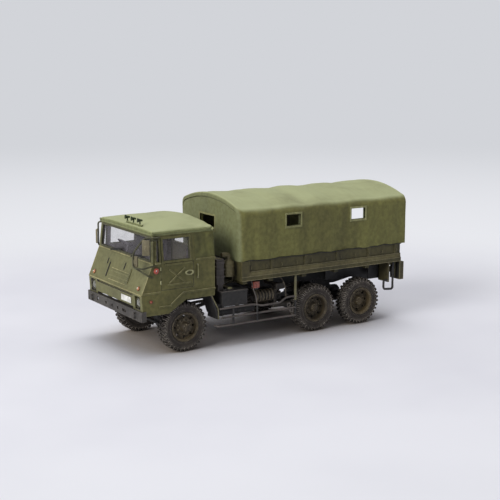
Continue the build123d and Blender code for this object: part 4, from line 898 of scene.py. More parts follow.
def facing_place(middle, out):
    """A place function for a lathe that points out from a middle in X, d and height."""
    out = Vector(out).normalized()
    across = out.orthogonal().normalized()
    up = out.cross(across)
    centre = Vector(middle)
    return lambda along, a, b: at(*(centre + out * along + across * a + up * b))


print("lathe ready")

# %% [markdown]
# A bar follows a route and is bent at its corners, as wire stays and rails are. Each
# corner becomes a short curve, and a ring of points is carried along the path without
# twisting. A block is a cuboid with soft edges, since no moulded edge is quite sharp.

# %% Bar and block
def add_bar(shape, points, radius, bend=1.0, sides=12):
    """A round bar through points of X, d and height, bent at its corners."""
    route = [Vector(point) for point in points]
    path = [route[0]]
    for before, corner, after in zip(route, route[1:], route[2:]):
        reach = min(bend, (corner - before).length * 0.45, (after - corner).length * 0.45)
        start = corner + (before - corner).normalized() * reach
        end = corner + (after - corner).normalized() * reach
        for step in range(6):
            share = step / 5
            bow = start * (1 - share) ** 2 + corner * 2 * share * (1 - share)
            path.append(bow + end * share**2)
    path.append(route[-1])
    across = (path[1] - path[0]).orthogonal().normalized()
    rings = []
    for i, point in enumerate(path):
        along = (path[min(i + 1, len(path) - 1)] - path[max(i - 1, 0)]).normalized()
        across = (across - along * across.dot(along)).normalized()
        up = along.cross(across)
        ring = []
        for side in range(sides):
            angle = 2 * pi * side / sides
            spot = point + (across * cos(angle) + up * sin(angle)) * radius
            ring.append(shape.verts.new(at(*spot)))
        rings.append(ring)
    for near, far in zip(rings, rings[1:]):
        bridge(shape, near, far)
    shape.faces.new(rings[0])
    shape.faces.new(rings[-1])


def add_block(shape, x, d, z, soft=0.1, turn=0.0):
    """A cuboid between limits with softened edges, turned about its own upright middle."""
    made = bmesh.ops.create_cube(shape, size=1.0)["verts"]
    middle = Vector(((x[0] + x[1]) / 2, (d[0] + d[1]) / 2, (z[0] + z[1]) / 2))
    size = Vector((x[1] - x[0], d[1] - d[0], z[1] - z[0]))
    spin = Matrix.Rotation(turn, 3, "Z")
    for vertex in made:
        vertex.co = at(*(middle + spin @ (vertex.co * size)))
    edges = list(dict.fromkeys(edge for vertex in made for edge in vertex.link_edges))
    bmesh.ops.bevel(shape, geom=edges, offset=soft * MM, segments=2, affect="EDGES", profile=0.5)


def add_bars(shape, route, radius, bend=1.0, sides=12):
    """The same bar on both sides of the truck."""
    for side in (-1, 1):
        add_bar(shape, [(side * x, d, z) for x, d, z in route], radius, bend, sides)


def add_blocks(shape, x, d, z, soft=0.1):
    """The same block on both sides of the truck."""
    for side in (-1, 1):
        add_block(shape, sorted((side * x[0], side * x[1])), d, z, soft)


def shaped(name, build):
    """A mesh from a function that fills a bmesh, with its faces turned outward."""
    def build_outward(shape):
        build(shape)
        bmesh.ops.recalc_face_normals(shape, faces=shape.faces)

    return mesh_from(name, build_outward)


def add_piece(name, build, finish, slot, **options):
    """A finished piece from a function that fills a bmesh."""
    return make_piece(name, shaped(name, build), finish, slot, **options)


print("bar and block ready")

# %% [markdown]
# What repeats is copied by geometry nodes. A tree has named inputs, and the script sets
# each by its socket's identifier before the object is first evaluated. The tree ends by
# making its copies real, and the result is read back as a plain mesh, so nothing depends
# on the modifier afterwards.

# %% Helpers for geometry trees
def new_tree(name, sockets):
    """A geometry tree with a geometry input and output and further inputs by name and kind."""
    tree = bpy.data.node_groups.new(name, "GeometryNodeTree")
    tree.interface.new_socket("Geometry", in_out="INPUT", socket_type="NodeSocketGeometry")
    keys = {}
    for label, kind in sockets:
        keys[label] = tree.interface.new_socket(label, in_out="INPUT", socket_type=kind).identifier
    tree.interface.new_socket("Geometry", in_out="OUTPUT", socket_type="NodeSocketGeometry")
    return tree, keys, tree.nodes.new("NodeGroupInput")


def end_tree(tree, source, instances):
    """Ends a tree: the copies become real geometry and take their finish."""
    real = add_node(tree, "GeometryNodeRealizeInstances", {"Geometry": instances})
    dressed = add_node(
        tree, "GeometryNodeSetMaterial",
        {"Geometry": real.outputs[0], "Material": source.outputs["Finish"]},
    )
    add_node(tree, "NodeGroupOutput", {"Geometry": dressed.outputs[0]})


def run_tree(tree, keys, mesh, values):
    """The mesh that a tree makes from another, with its named inputs set."""
    holder = work_object("holder", mesh)
    modifier = holder.modifiers.new("made", "NODES")
    modifier.node_group = tree
    for label, value in values.items():
        modifier[keys[label]] = value
    return evaluated(holder)


def joined(name, meshes):
    """One mesh from several."""
    def build(shape):
        for mesh in meshes:
            shape.from_mesh(mesh)

    return mesh_from(name, build)


print("geometry tree helpers ready")

# %% [markdown]
# The first tree turns copies of a mesh round the X axis: tread lugs, hand holes and wheel
# nuts. It makes as many points as are asked for, all at the origin, and gives each copy a
# turn from its number.

# %% Copies round an axis
circle_tree, circle_keys, source = new_tree(
    "copies_round_axis",
    (
        ("Count", "NodeSocketInt"),
        ("First turn", "NodeSocketFloat"),
        ("Finish", "NodeSocketMaterial"),
    ),
)
spots = add_node(circle_tree, "GeometryNodePoints", {"Count": source.outputs["Count"]})
number = add_node(circle_tree, "GeometryNodeInputIndex").outputs[0]
step_angle = maths(circle_tree, "DIVIDE", 2 * pi, source.outputs["Count"])
turned_by = maths(circle_tree, "MULTIPLY", number, step_angle)
turned_by = maths(circle_tree, "ADD", turned_by, source.outputs["First turn"])
turn = add_node(circle_tree, "ShaderNodeCombineXYZ", {0: turned_by})
ring_copies = add_node(
    circle_tree,
    "GeometryNodeInstanceOnPoints",
    {
        "Points": spots.outputs[0],
        "Instance": source.outputs["Geometry"],
        "Rotation": turn.outputs[0],
    },
)
end_tree(circle_tree, source, ring_copies.outputs[0])


def copied_round(mesh, count, finish, first_turn=0.0):
    """Copies of a mesh round the X axis through the origin."""
    values = {"Count": count, "First turn": first_turn, "Finish": materials[finish]}
    return run_tree(circle_tree, circle_keys, mesh, values)


print("round copies take", list(circle_keys))

# %% [markdown]
# The second tree sets bolt heads along lines. It turns each line into a curve, resamples
# it at the spacing, and stands a six-sided head on every point, turned to face outward.

# %% Bolts along lines
bolt_tree, bolt_keys, source = new_tree(
    "bolts_along_lines",
    (
        ("Spacing", "NodeSocketFloat"),
        ("Radius", "NodeSocketFloat"),
        ("Height", "NodeSocketFloat"),
        ("Facing", "NodeSocketVector"),
        ("Finish", "NodeSocketMaterial"),
    ),
)
lines = add_node(bolt_tree, "GeometryNodeMeshToCurve", {"Mesh": source.outputs["Geometry"]})
spaced = add_node(
    bolt_tree,
    "GeometryNodeResampleCurve",
    {"Curve": lines.outputs[0], "Length": source.outputs["Spacing"]},
    mode="LENGTH",
)
head = add_node(
    bolt_tree,
    "GeometryNodeMeshCylinder",
    {"Vertices": 6, "Radius": source.outputs["Radius"], "Depth": source.outputs["Height"]},
)
aimed = add_node(
    bolt_tree, "FunctionNodeAlignRotationToVector", {"Vector": source.outputs["Facing"]}, axis="Z"
)
bolt_copies = add_node(
    bolt_tree,
    "GeometryNodeInstanceOnPoints",
    {"Points": spaced.outputs[0], "Instance": head.outputs[0], "Rotation": aimed.outputs[0]},
)
end_tree(bolt_tree, source, bolt_copies.outputs[0])


def bolts(ends, spacing, facing, finish, radius=0.17, height=0.16):
    """Bolt heads along lines, each given by its two ends in X, d and height."""
    def build(shape):
        for start, end in ends:
            shape.edges.new((shape.verts.new(at(*start)), shape.verts.new(at(*end))))

    values = {
        "Spacing": spacing * MM,
        "Radius": radius * MM,
        "Height": height * MM,
        "Facing": facing,
        "Finish": materials[finish],
    }
    return run_tree(bolt_tree, bolt_keys, mesh_from("bolt_lines", build), values)


print("rows of bolts take", list(bolt_keys))

# %% [markdown]
# ## Tyres
#
# A military tyre has a round carcass with moulded rings on its sidewalls, and two rows of
# straight lugs that are set half a step apart and fold over the shoulders. The carcass is
# one closed lathe profile. One lug is a small bevelled block, and the copying tree turns
# it into each row. The tyre is made once at the origin and set in each of its six places.

# %% Tyre
lug_total = 34
tyre_profile = (
    (1.62, 3.76), (1.66, 4.0), (1.74, 4.22), (1.86, 4.36), (1.87, 4.6), (1.8, 4.75), (1.87, 5.1),
    (1.89, 5.45), (1.93, 5.52), (1.93, 5.72), (1.87, 5.8), (1.85, 6.05), (1.76, 6.28), (1.6, 6.42),
    (1.2, 6.47), (0.0, 6.48),
)
tyre_loop = tyre_profile + tuple((-x, r) for x, r in reversed(tyre_profile[:-1]))


def from_hub(x, a, b):
    """A point of a wheel at the origin."""
    return Vector((x, a, b)) * MM


def build_carcass(shape):
    """The tyre without its lugs."""
    add_lathe(shape, tyre_loop, 72, from_hub, closed=True)


carcass = shaped("carcass", build_carcass)
print("carcass:", len(carcass.polygons), "faces")

# %% [markdown]
# The lug is modelled once at the foot of the tyre. Its outline climbs from the middle of
# the tread over the shoulder, and it is a little narrower at its tip, as a moulded lug
# must be to leave its mould. A turned copy makes the other row.

# %% Tread lugs
# Outline of a lug seen along the tread: X, radius
lug_foot, lug_tip = 6.4, 7.06
lug_outline = (
    (0.06, lug_foot), (0.06, lug_tip), (1.5, lug_tip), (1.8, 6.88), (1.92, 6.3), (1.9, 5.95),
    (1.5, 6.3),
)


def build_lug(shape):
    """One lug at the foot of the tyre, a little narrower at its tip."""
    sides = []
    for sign in (-1, 1):
        row = []
        for x, radius in lug_outline:
            half = 0.36 - 0.1 * max(0.0, radius - lug_foot) / (lug_tip - lug_foot)
            row.append(shape.verts.new(from_hub(x, sign * half, -radius)))
        sides.append(row)
    count = len(lug_outline)
    for i in range(count):
        after = (i + 1) % count
        shape.faces.new((sides[0][i], sides[0][after], sides[1][after], sides[1][i]))
    shape.faces.new(sides[0])
    shape.faces.new(sides[1])
    sharp = [edge for edge in shape.edges if edge.calc_length() > 0.2 * MM]
    bmesh.ops.bevel(shape, geom=sharp, offset=0.05 * MM, segments=1, affect="EDGES")


lug = shaped("lug", build_lug)
mirrored_lug = lug.copy()
mirrored_lug.transform(Matrix.Rotation(pi, 4, "Z"))
tyre_mesh = joined("tyre", (
    carcass,
    copied_round(lug, lug_total, "tyre_finish"),
    copied_round(mirrored_lug, lug_total, "tyre_finish", pi / lug_total),
))
print("tyre:", len(tyre_mesh.polygons), "faces")

# %% [markdown]
# ## Wheels
#
# The front wheels stand out on deep hubs and the rear ones are dished, as the frame's
# solids are. Each is a closed lathe profile, with round hand holes cut through its disc
# by a Boolean, a ring of nuts on the raised seat and small bolts round the hub cap.

# %% Wheels
rim_profile = (
    (-2.03, 3.45), (-2.03, 4.05), (-1.95, 4.13), (-1.82, 4.1), (-1.76, 3.74),
    (1.76, 3.74), (1.82, 4.08), (1.92, 4.15), (2.02, 4.08), (2.03, 3.95), (1.94, 3.86),
    (1.92, 3.62), (1.8, 3.5), (1.5, 3.44),
)
# For each kind: X of the disc's inner and outer face, hub reach, end of the stub's bore
wheel_sorts = {"front": (0.5, 1.0, 3.3, 2.35), "rear": (-0.5, 0.0, 1.6, 1.15)}


def wheel_profile(inner_x, face_x, reach, bore_end):
    """The wheel's section, from the hub cap's middle round the rim to the end of the bore."""
    outer = (
        (reach, 0.0), (reach, 0.62), (reach - 0.08, 0.72), (reach - 0.3, 0.78),
        (reach - 0.36, 1.12), (reach - 0.5, 1.22),
        (face_x + 0.5, 1.5), (face_x + 0.42, 1.62), (face_x + 0.28, 1.66),
        (face_x + 0.26, 2.42), (face_x + 0.14, 2.52), (face_x, 2.58), (face_x, 3.2),
        (face_x + 0.14, 3.38),
    )
    rim = tuple(reversed(rim_profile))
    inner = (
        (inner_x - 0.2, 3.42), (inner_x, 3.3), (inner_x, 1.55), (-1.25, 1.52), (-1.3, 1.46),
        (-1.3, 0.87), (bore_end, 0.87), (bore_end, 0.0),
    )
    return outer + rim + inner


print("wheel section has", len(wheel_profile(*wheel_sorts["front"])), "points")

# %% [markdown]
# The hand holes are cut by one Boolean with a ring of cutters. Nuts and cap bolts are
# turned copies, joined to the disc, because they belong to the same moulding.

# %% Wheel discs
def build_hole(shape):
    """A round cutter through the disc, below the hub."""
    profile = ((-2, 0.0), (-2, 0.44), (2, 0.44), (2, 0.0))
    add_lathe(shape, profile, 20, lambda x, a, b: from_hub(x, a, b - 2.95))


def build_nut(shape, x, circle, radius, height):
    """A hexagonal nut on a wheel's face, below the hub."""
    profile = (
        (x - 0.1, 0.0), (x - 0.1, radius), (x + height * 0.8, radius),
        (x + height, radius * 0.75), (x + height, 0.0),
    )
    add_lathe(shape, profile, 6, lambda along, a, b: from_hub(along, a, b - circle))


holes = copied_round(shaped("hole", build_hole), 8, "wheel_paint")
hole_cutter = work_object("hole_cutter", holes)
wheel_meshes = {}
for sort, limits in wheel_sorts.items():
    _, face_x, reach, _ = limits
    section = wheel_profile(*limits)
    blank = shaped("wheel_blank", lambda shape: add_lathe(shape, section, 64, from_hub))
    disc = work_object("wheel_disc", blank)
    add_cut(disc, hole_cutter)
    turned = evaluated(disc)
    nut = shaped("nut", lambda shape: build_nut(shape, face_x + 0.27, 2.05, 0.22, 0.3))
    small = shaped("cap_bolt", lambda shape: build_nut(shape, reach - 0.33, 0.96, 0.1, 0.12))
    wheel_meshes[sort] = joined("wheel_" + sort, (
        turned,
        copied_round(nut, 10, "wheel_paint"),
        copied_round(small, 8, "wheel_paint", 0.2),
    ))
bpy.data.objects.remove(hole_cutter)
print("discs:", {sort: len(mesh.polygons) for sort, mesh in wheel_meshes.items()}, "faces")

# %% [markdown]
# Each tyre and disc is a copy with its place in its mesh, read from the frame's own box
# of that tyre. It rides on the wheel's body, so it turns with the wheel. Those on the
# right are turned half round, so that their hubs face out.

# %% Wheels in place
wheel_sites = []
for axle in ("front", "mid", "rear"):
    for side, turn in (("left", 0.0), ("right", pi)):
        low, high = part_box(f"tyre_{axle}_{side}")
        spot = Matrix.Translation((low + high) / 2) @ Matrix.Rotation(turn, 4, "Z")
        sort = "front" if axle == "front" else "rear"
        body = f"{axle}_{side}_wheel"
        for kind, mesh, finish, slot in (
            ("tyre", tyre_mesh, "tyre_finish", "tyre_rubber"),
            ("wheel", wheel_meshes[sort], "wheel_paint", "wheel_olive"),
        ):
            placed = mesh.copy()
            placed.transform(spot)
            label = f"{kind}_{axle}_{side}"
            make_piece("full_" + label, placed, finish, slot, body, (label,), radians(32))
        wheel_sites.append(body)
print("wheels dressed:", len(wheel_sites))

# %% [markdown]
# ## The cab's canvas roof
#
# The roof is a soft top. It is pulled tight over the front rail, rises into an arch at the
# rear, and is tucked into small pleats at the rear corners. Its edge ends in a sewn lip.
# So one function gives its height over any place, from the frame's own box.

# %% Height of the cab roof
roof_x, roof_d, roof_z = node_box("cab_roof")
roof_half = roof_x[1]
roof_edge_z = 34.9
lip_z = roof_z[0] + 0.02


def smooth_share(value):
    """A share from 0 to 1 that eases in and out."""
    value = min(1.0, max(0.0, value))
    return value * value * (3 - 2 * value)


def rolled(away, radius):
    """How far a rounded edge has dropped at a distance inside it."""
    near = max(0.0, 1 - away / radius)
    return radius * (1 - (1 - near * near) ** 0.5)


def roof_height(x, d):
    """Height of the canvas over a place."""
    across = x / roof_half
    crown = 0.25 + 1.3 * smooth_share((d - roof_d[0]) / 9.0) + 0.05 * smooth_share((d - 3) / 5)
    height = roof_edge_z + crown * (1 - across * across) - rolled(roof_half - abs(x), 0.9)
    height -= rolled(d - roof_d[0], 0.6) + rolled(roof_d[1] - d, 0.7)
    ripple = noise.noise(Vector((x * 0.16, d * 0.2, 3.3)))
    tuck = smooth_share((d - 3.0) / 5.0) * smooth_share((abs(x) - 9) / 7)
    pleat = sin((abs(x) * 0.9 + d * 1.1) * 1.7) * 0.1
    return height + 0.07 * ripple + tuck * pleat - 0.05


print("roof is", round(roof_height(0, 0), 1), "mm high over the front axle")

# %% [markdown]
# The sheet is a grid over that height, closer towards its edges, where it curves most. A
# skirt goes down from its rim in rings, the last of which turns out into the sewn lip. A
# Solidify modifier gives it thickness.

# %% Cab roof
# Rings of the skirt: height, and how far each stands out
skirt = ((34.15, -0.05), (33.98, -0.12), (33.9, 0.0), (lip_z, 0.0))


def rim_of(grid):
    """The vertices round the edge of a grid, in order."""
    right = [row[-1] for row in grid[:-1]]
    left = [row[0] for row in grid[:0:-1]]
    return grid[0][:-1] + right + grid[-1][:0:-1] + left


def build_roof(shape):
    """The roof's skin: a grid over the top, then a skirt that turns out into the lip."""
    def stations(low, high, count):
        return [low + (high - low) * (0.5 - 0.5 * cos(pi * i / count)) for i in range(count + 1)]

    xs = stations(-roof_half + 0.02, roof_half - 0.02, 64)
    ds = stations(roof_d[0] + 0.02, roof_d[1] - 0.02, 44)
    grid = [[shape.verts.new(at(x, d, roof_height(x, d))) for x in xs] for d in ds]
    fill_grid(shape, grid)
    rim = rim_of(grid)
    middle = at(0, (roof_d[0] + roof_d[1]) / 2, 0)
    previous = rim
    for height, proud in skirt:
        ring = []
        for vertex in rim:
            away = vertex.co - middle
            reach_x = away.x / MM / roof_half
            reach_d = away.y / MM / ((roof_d[1] - roof_d[0]) / 2)
            out_x = reach_x if abs(reach_x) > 0.99 else 0
            out_d = reach_d if abs(reach_d) > 0.99 else 0
            wave = 0.06 * noise.noise(Vector((vertex.co.x, vertex.co.y, 0)) / MM * 0.35)
            level = height + (wave if height > lip_z else 0)
            spot = Vector((vertex.co.x, vertex.co.y, level * MM))
            ring.append(shape.verts.new(spot + Vector((out_x, out_d, 0)) * proud * MM))
        bridge(shape, previous, ring)
        previous = ring


roof_work = work_object("roof_work", shaped("roof_skin", build_roof))
add_wall(roof_work, 0.5)
roof_mesh = evaluated(roof_work)
make_piece(
    "canvas_roof", roof_mesh, "roof_paint", "roof_olive",
    stands_for=("cab_roof",), smooth_under=radians(50),
)
print("cab roof:", len(roof_mesh.polygons), "faces")

# %% [markdown]
# Behind each door the cab is closed by canvas too. It is a thin quilt over the skin: two
# grids that lean in with the cab, the outer one lifted by soft upright folds that fade
# out towards its edges, with their rims joined.

# %% Canvas behind the doors
skin_half, skin_top_half = 16.87, 16.1
belt, header = 26.2, 33.6
quarter_d = (2.55, 8.66)


def skin_at(z):
    """Half width of the cab at a height above its belt."""
    return skin_half - (skin_half - skin_top_half) * (z - belt) / (header - belt)


def quarter_point(side, lift, along, up):
    """A point of a quarter. lift is 0 on the cab's skin and 1 on the canvas face."""
    d = quarter_d[0] + (quarter_d[1] - quarter_d[0]) * along
    z = belt + 0.35 + (header - belt - 0.45) * up
    edge = min(1.0, 6 * min(along, 1 - along, up * 1.4, (1 - up) * 1.4))
    folds = noise.noise(Vector((d * 0.75 + z * 0.18, z * 0.2, side * 2.0)))
    slant = noise.noise(Vector((d * 0.4 - z * 0.45, z * 0.1 + d * 0.2, 5.5)))
    proud = 0.07 + lift * (0.1 + edge * (0.18 + 0.34 * folds + 0.26 * slant))
    return at(side * (skin_at(z) - 0.1 + proud), d, z)


def build_quarters(shape):
    """Both rear quarters: a thin quilt of soft upright folds over the cab's skin."""
    shares = [i / 30 for i in range(31)]
    rows = 34
    for side in (-1, 1):
        rims = []
        for lift in (0.0, 1.0):
            sheet = []
            for j in range(rows + 1):
                spots = [quarter_point(side, lift, along, j / rows) for along in shares]
                sheet.append([shape.verts.new(spot) for spot in spots])
            fill_grid(shape, sheet)
            rims.append(rim_of(sheet))
        bridge(shape, *rims)


add_piece("canvas_quarters", build_quarters, "quarter_paint", "canopy_olive")
print("quarters ready, from", quarter_d[0], "to", quarter_d[1], "mm behind the front axle")

# %% [markdown]
# ## Mouldings and trim of the cab
#
# The beads on a pressed steel cab catch the dry brush before anything else, so they get
# their own paler paint. Each is a round bar half sunk in the skin.

# %% Beads of the cab
paint("bead_paint", (148, 142, 100), (120, 116, 78), (176, 170, 128), wash_and_shade=0.3, worn=0.9)
paint("dark_paint", (30, 29, 26), (22, 22, 20), (60, 58, 50), wash_and_shade=0.3, worn=0.3)
paint("handle_paint", (158, 158, 118), (134, 132, 94), (186, 182, 146), wash_and_shade=0.3, worn=0.8)

bead_sink = 0.04
# Beads on the side: runs of d and height
side_beads = (
    ((-5.4, 24.1), (-0.8, 20.5)),
    ((-5.4, 20.5), (-0.8, 24.1)),
    ((-6.0, 19.95), (0.8, 19.95)),
    ((-6.8, 25.6), (1.4, 25.6)),
    ((cover_front - 8.2, 17.45), (-1.2, 17.45), (-4.9, 14.6)),
    ((-13.7, 18.2), (-8.6, 18.2)),
    ((-8.6, 14.1), (-5.2, 14.1)),
    ((3.0, belt), (8.6, belt)),
    ((-9.9, belt), (-8.3, belt)),
)


def build_beads(shape):
    """Beads on both sides of the cab."""
    for run in side_beads:
        add_bars(shape, [(skin_half - bead_sink, d, z) for d, z in run], 0.26, 0.8, 10)


add_piece("cab_beads", build_beads, "bead_paint", "cab_olive")
print(len(side_beads), "beads on each side")

# %% [markdown]
# Each cab window has a painted frame with a dark rubber seal inside it. Both are rings
# between two outlines with round corners, laid on the leaning side of the cab. The
# windscreen leans back, so its seal takes its depth from its height.

# %% Window frames and seals of the cab
def rounded_corners(u, v, grow, radius, steps=4):
    """A rectangle with round corners as a list of points."""
    points = []
    for cu, cv, first in (
        (u[1] + grow - radius, v[1] + grow - radius, 0.0),
        (u[0] - grow + radius, v[1] + grow - radius, pi / 2),
        (u[0] - grow + radius, v[0] - grow + radius, pi),
        (u[1] + grow - radius, v[0] - grow + radius, 3 * pi / 2),
    ):
        for step in range(steps + 1):
            angle = first + pi / 2 * step / steps
            points.append((cu + radius * cos(angle), cv + radius * sin(angle)))
    return points


door_window = ((-7.4, 0.9), (26.6, 32.7))


def screen_d(z):
    """Distance behind the front axle of the windscreen's face."""
    return -10.6 + 0.6 * (z - belt) / (header - belt)


def screen_corners(grow):
    """Corners of the windscreen opening, grown all round."""
    return (
        (-15.5 - grow, 26.75 - grow), (15.5 + grow, 26.75 - grow),
        (15.0 + grow, 33.05 + grow), (-15.0 - grow, 33.05 + grow),
    )


def on_side(side):
    """A place function for a ring on a leaning side of the cab."""
    return lambda d, z, depth: at(side * (skin_at(z) + depth), d, z)


def build_window_frames(shape):
    """Painted frames round the door windows."""
    outer = rounded_corners(*door_window, 0.42, 0.5)
    inner = rounded_corners(*door_window, -0.02, 0.25)
    for side in (-1, 1):
        add_ring(shape, outer, inner, on_side(side), -0.1, 0.27)


def build_seals(shape):
    """Dark rubber inside the frames and round the windscreen."""
    outer = rounded_corners(*door_window, 0.05, 0.3)
    inner = rounded_corners(*door_window, -0.22, 0.2)
    for side in (-1, 1):
        add_ring(shape, outer, inner, on_side(side), -0.3, 0.1)
    add_ring(
        shape, screen_corners(0.22), screen_corners(-0.2),
        lambda x, z, depth: at(x, screen_d(z) - depth, z), -0.3, 0.14,
    )


add_piece("window_frames", build_window_frames, "cab_paint", "cab_olive")
add_piece("window_seals", build_seals, "trim_paint", "trim_dark")
print("window frames and seals ready")

# %% [markdown]
# The nose slopes. Dark bars beside its raised strips are painted shadow in the grooves
# there, thin ribs cross it, and its edges are pale. One function gives a place on the slope
# from a share of its height, so every strip lies on it.

# %% Slots and ribs of the nose
slope_foot, slope_top = Vector((0, -14.1, 17.84)), Vector((0, -10.6, belt))
slope_run = slope_top - slope_foot
slope_out = Vector((0, -slope_run.z, slope_run.y)).normalized()


def on_slope(x, share, proud=0.0):
    """A place on the sloping nose in X, d and height."""
    return Vector((x, 0, 0)) + slope_foot + slope_run * share + slope_out * proud


def build_groove_shadows(shape):
    """Dark bars beside the raised strips of the nose: painted shadow in their grooves."""
    groove_shadows = ((-6.52, 0.16, 0.64), (6.52, 0.16, 0.64), (-8.25, 0.56, 0.74), (2.45, 0.56, 0.78))
    for x, low, high in groove_shadows:
        add_bar(shape, [on_slope(x, low, 0.02), on_slope(x, high, 0.02)], 0.17, sides=8)


def build_ribs(shape):
    """Thin raised ribs and the edges of the nose."""
    for share in (0.13, 0.255, 0.40, 0.49):
        add_bar(shape, [on_slope(-4.6, share), on_slope(5.8, share)], 0.13, sides=8)
    add_bars(shape, [on_slope(16.75, 0.02, -0.05), on_slope(16.75, 0.98, -0.05)], 0.16, sides=8)
    add_bar(shape, [on_slope(-16.7, 0.0), on_slope(16.7, 0.0)], 0.2, sides=10)
    add_bar(shape, [on_slope(-16.4, 1.0, 0.02), on_slope(16.4, 1.0, 0.02)], 0.2, sides=10)


# Painted shadow beside the raised strips of the nose.
add_piece("nose_groove_shadows", build_groove_shadows, "dark_paint", "cab_olive")
add_piece("nose_ribs", build_ribs, "bead_paint", "cab_olive")
print("nose slopes over", round(slope_run.length, 1), "mm")

# %% [markdown]
# A door has a pressed oval round its handle and two hinges. The oval is a lathe whose
# place function stretches the ring along the door, which saves a shape of its own.

# %% Door handles and hinges
def round_section(radius, middle, count):
    """A small circle as a closed profile for the lathe, at a distance from the axis."""
    angles = [2 * pi * i / count for i in range(count)]
    return [(radius * cos(angle), middle + radius * sin(angle)) for angle in angles]


def on_door(side):
    """A place function that lays a ring on a door, stretched into an oval."""
    return lambda along, a, b: at(side * (skin_half + 0.1 + along), 0.7 + a * 2.25, 22.8 + b * 1.2)


def build_handles(shape):
    """Oval rings round the handles, and the door hinges."""
    for side in (-1, 1):
        add_lathe(shape, round_section(0.13, 0.5, 10), 24, on_door(side), closed=True)
    for z in (20.9, 24.6):
        add_bars(shape, [(16.95, -8.25, z - 0.45), (16.95, -8.25, z + 0.45)], 0.2, sides=10)


add_piece("door_handles", build_handles, "handle_paint", "cab_olive")
print("door handles and hinges ready")

# %% [markdown]
# ## Mirrors, lamps and wipers
#
# The mirror stays are bent wire with housings clamped to them. So each stay is a route of
# places for a bar, and each head is a block turned about its own upright middle. The
# glass of each faces the rear.

# %% Mirrors
mirror_turn = radians(40)
mirror_x = 17.966
left_stay = (
    (16.55, -8.3, 33.25), (mirror_x - 0.6, -10.0, 33.3), (mirror_x - 0.6, -13.4, 33.4),
    (14.0, -14.95, 29.2), (14.0, -14.95, 25.2), (mirror_x - 0.7, -13.9, 25.2),
    (mirror_x - 0.7, -10.9, 25.7), (17.05, -9.9, 25.7),
)
right_stay = (
    (-16.5, -9.2, 33.2), (0.2 - mirror_x, -10.4, 33.2), (0.2 - mirror_x, -10.4, 26.3),
    (-17.05, -9.6, 26.0),
)
upper_arm = ((16.3, -8.6, 32.6), (mirror_x - 0.5, -10.4, 32.75), (mirror_x - 0.5, -12.9, 32.8))
lower_arm = ((14.0, -14.9, 25.4), (17.2, -12.1, 23.1), (16.85, -10.7, 22.6))
# Heads: X, d, height of the middle, half width, half height, turn
mirror_heads = (
    (mirror_x, -13.1, 31.0, 1.1, 2.1, mirror_turn),
    (14.2, -14.5, 26.9, 1.0, 1.5, mirror_turn / 2),
    (-mirror_x, -10.6, 29.0, 1.1, 2.1, -mirror_turn),
)


def build_mirrors(shape):
    """The stays of both sides."""
    for route in (left_stay, right_stay, upper_arm, lower_arm):
        add_bar(shape, route, 0.24, 0.9)


def build_heads(shape):
    """Housings, with the clamp on the back of each."""
    for x, d, z, half, tall, turn in mirror_heads:
        depth = (d - 0.28, d + 0.28)
        add_block(shape, (x - half, x + half), depth, (z - tall, z + tall), 0.22, turn)
        cx, cd = x + 0.2 * sin(turn), d - 0.2 * cos(turn)
        depth = (cd - 0.25, cd + 0.25)
        add_block(shape, (cx - 0.3, cx + 0.3), depth, (z - 0.5, z + 0.5), 0.1, turn)


def build_mirror_glass(shape):
    """The glasses, which face the rear."""
    for x, d, z, half, tall, turn in mirror_heads:
        cx, cd = x - 0.27 * sin(turn), d + 0.27 * cos(turn)
        add_block(
            shape, (cx - half + 0.2, cx + half - 0.2), (cd - 0.04, cd + 0.04),
            (z - tall + 0.2, z + tall - 0.2), 0.03, turn,
        )


add_piece("mirror_arms", build_mirrors, "trim_paint", "trim_dark", stands_for=("mirrors",))
paint("mirror_paint", (118, 110, 84), (92, 86, 64), (164, 154, 124))
add_piece("mirror_heads", build_heads, "mirror_paint", "trim_dark")
add_piece("mirror_glasses", build_mirror_glass, "lamp_finish", "lamp_lens")
print("mirrors ready:", len(mirror_heads), "heads")

# %% [markdown]
# A wiper is an arm on a spindle with its blade lying just clear of the glass.

# %% Wipers
def build_wipers(shape):
    """Two arms on spindles, each with a blade."""
    for x in (-8.5, 4.5):
        foot, tip = (x, -10.86, 26.4), (x + 7.0, -10.8, 27.5)
        add_bar(shape, [foot, tip], 0.12, sides=8)
        add_bar(shape, [(x, -10.45, 26.4), (x, -10.95, 26.4)], 0.25, sides=10)
        add_bar(shape, [(x + 1.6, -10.72, 26.88), (x + 7.6, -10.68, 27.9)], 0.14, sides=8)


add_piece("wiper_blades", build_wipers, "dark_paint", "trim_dark", stands_for=("wipers",))
print("wipers ready")

# %% [markdown]
# The lamps are small turned forms. A small one is a ring and a domed lens, set at its
# place on both sides and turned to face out. The amber and red lamps get a dot of gloss
# white on the lens, a painted highlight.

# %% Small lamps
def lens_profile(radius):
    """A domed lens."""
    return (
        (-0.1, radius * 0.8), (0.22, radius * 0.8), (0.36, radius * 0.66),
        (0.45, radius * 0.4), (0.48, 0.0),
    )


def bezel_profile(radius):
    """A ring round a lens."""
    return (
        (-0.1, radius), (0.16, radius), (0.24, radius * 0.94), (0.24, radius * 0.8),
        (0.0, radius * 0.76),
    )


nose_lamp = tuple(on_slope(14.1, (19.3 - slope_foot.z) / slope_run.z))
small_lamps = (
    # X, d, height, radius, facing, lens finish
    (*nose_lamp, 0.66, tuple(slope_out), "amber_finish"),
    (skin_half, -9.6, 24.2, 0.95, (1, 0, 0), "signal_finish"),
    (skin_half, -11.3, 15.9, 0.5, (1, 0, 0), "marker_finish"),
)
paint("bezel_paint", (104, 66, 42), (84, 52, 34), (150, 116, 84), wash_and_shade=0.3)
lens_finish("signal_finish", (184, 70, 44), (112, 36, 24))


def both_sides(x, d, z, out):
    """The place and facing of a lamp on each side."""
    for side in (-1, 1):
        yield (side * x, d, z), (side * out[0], out[1], out[2])


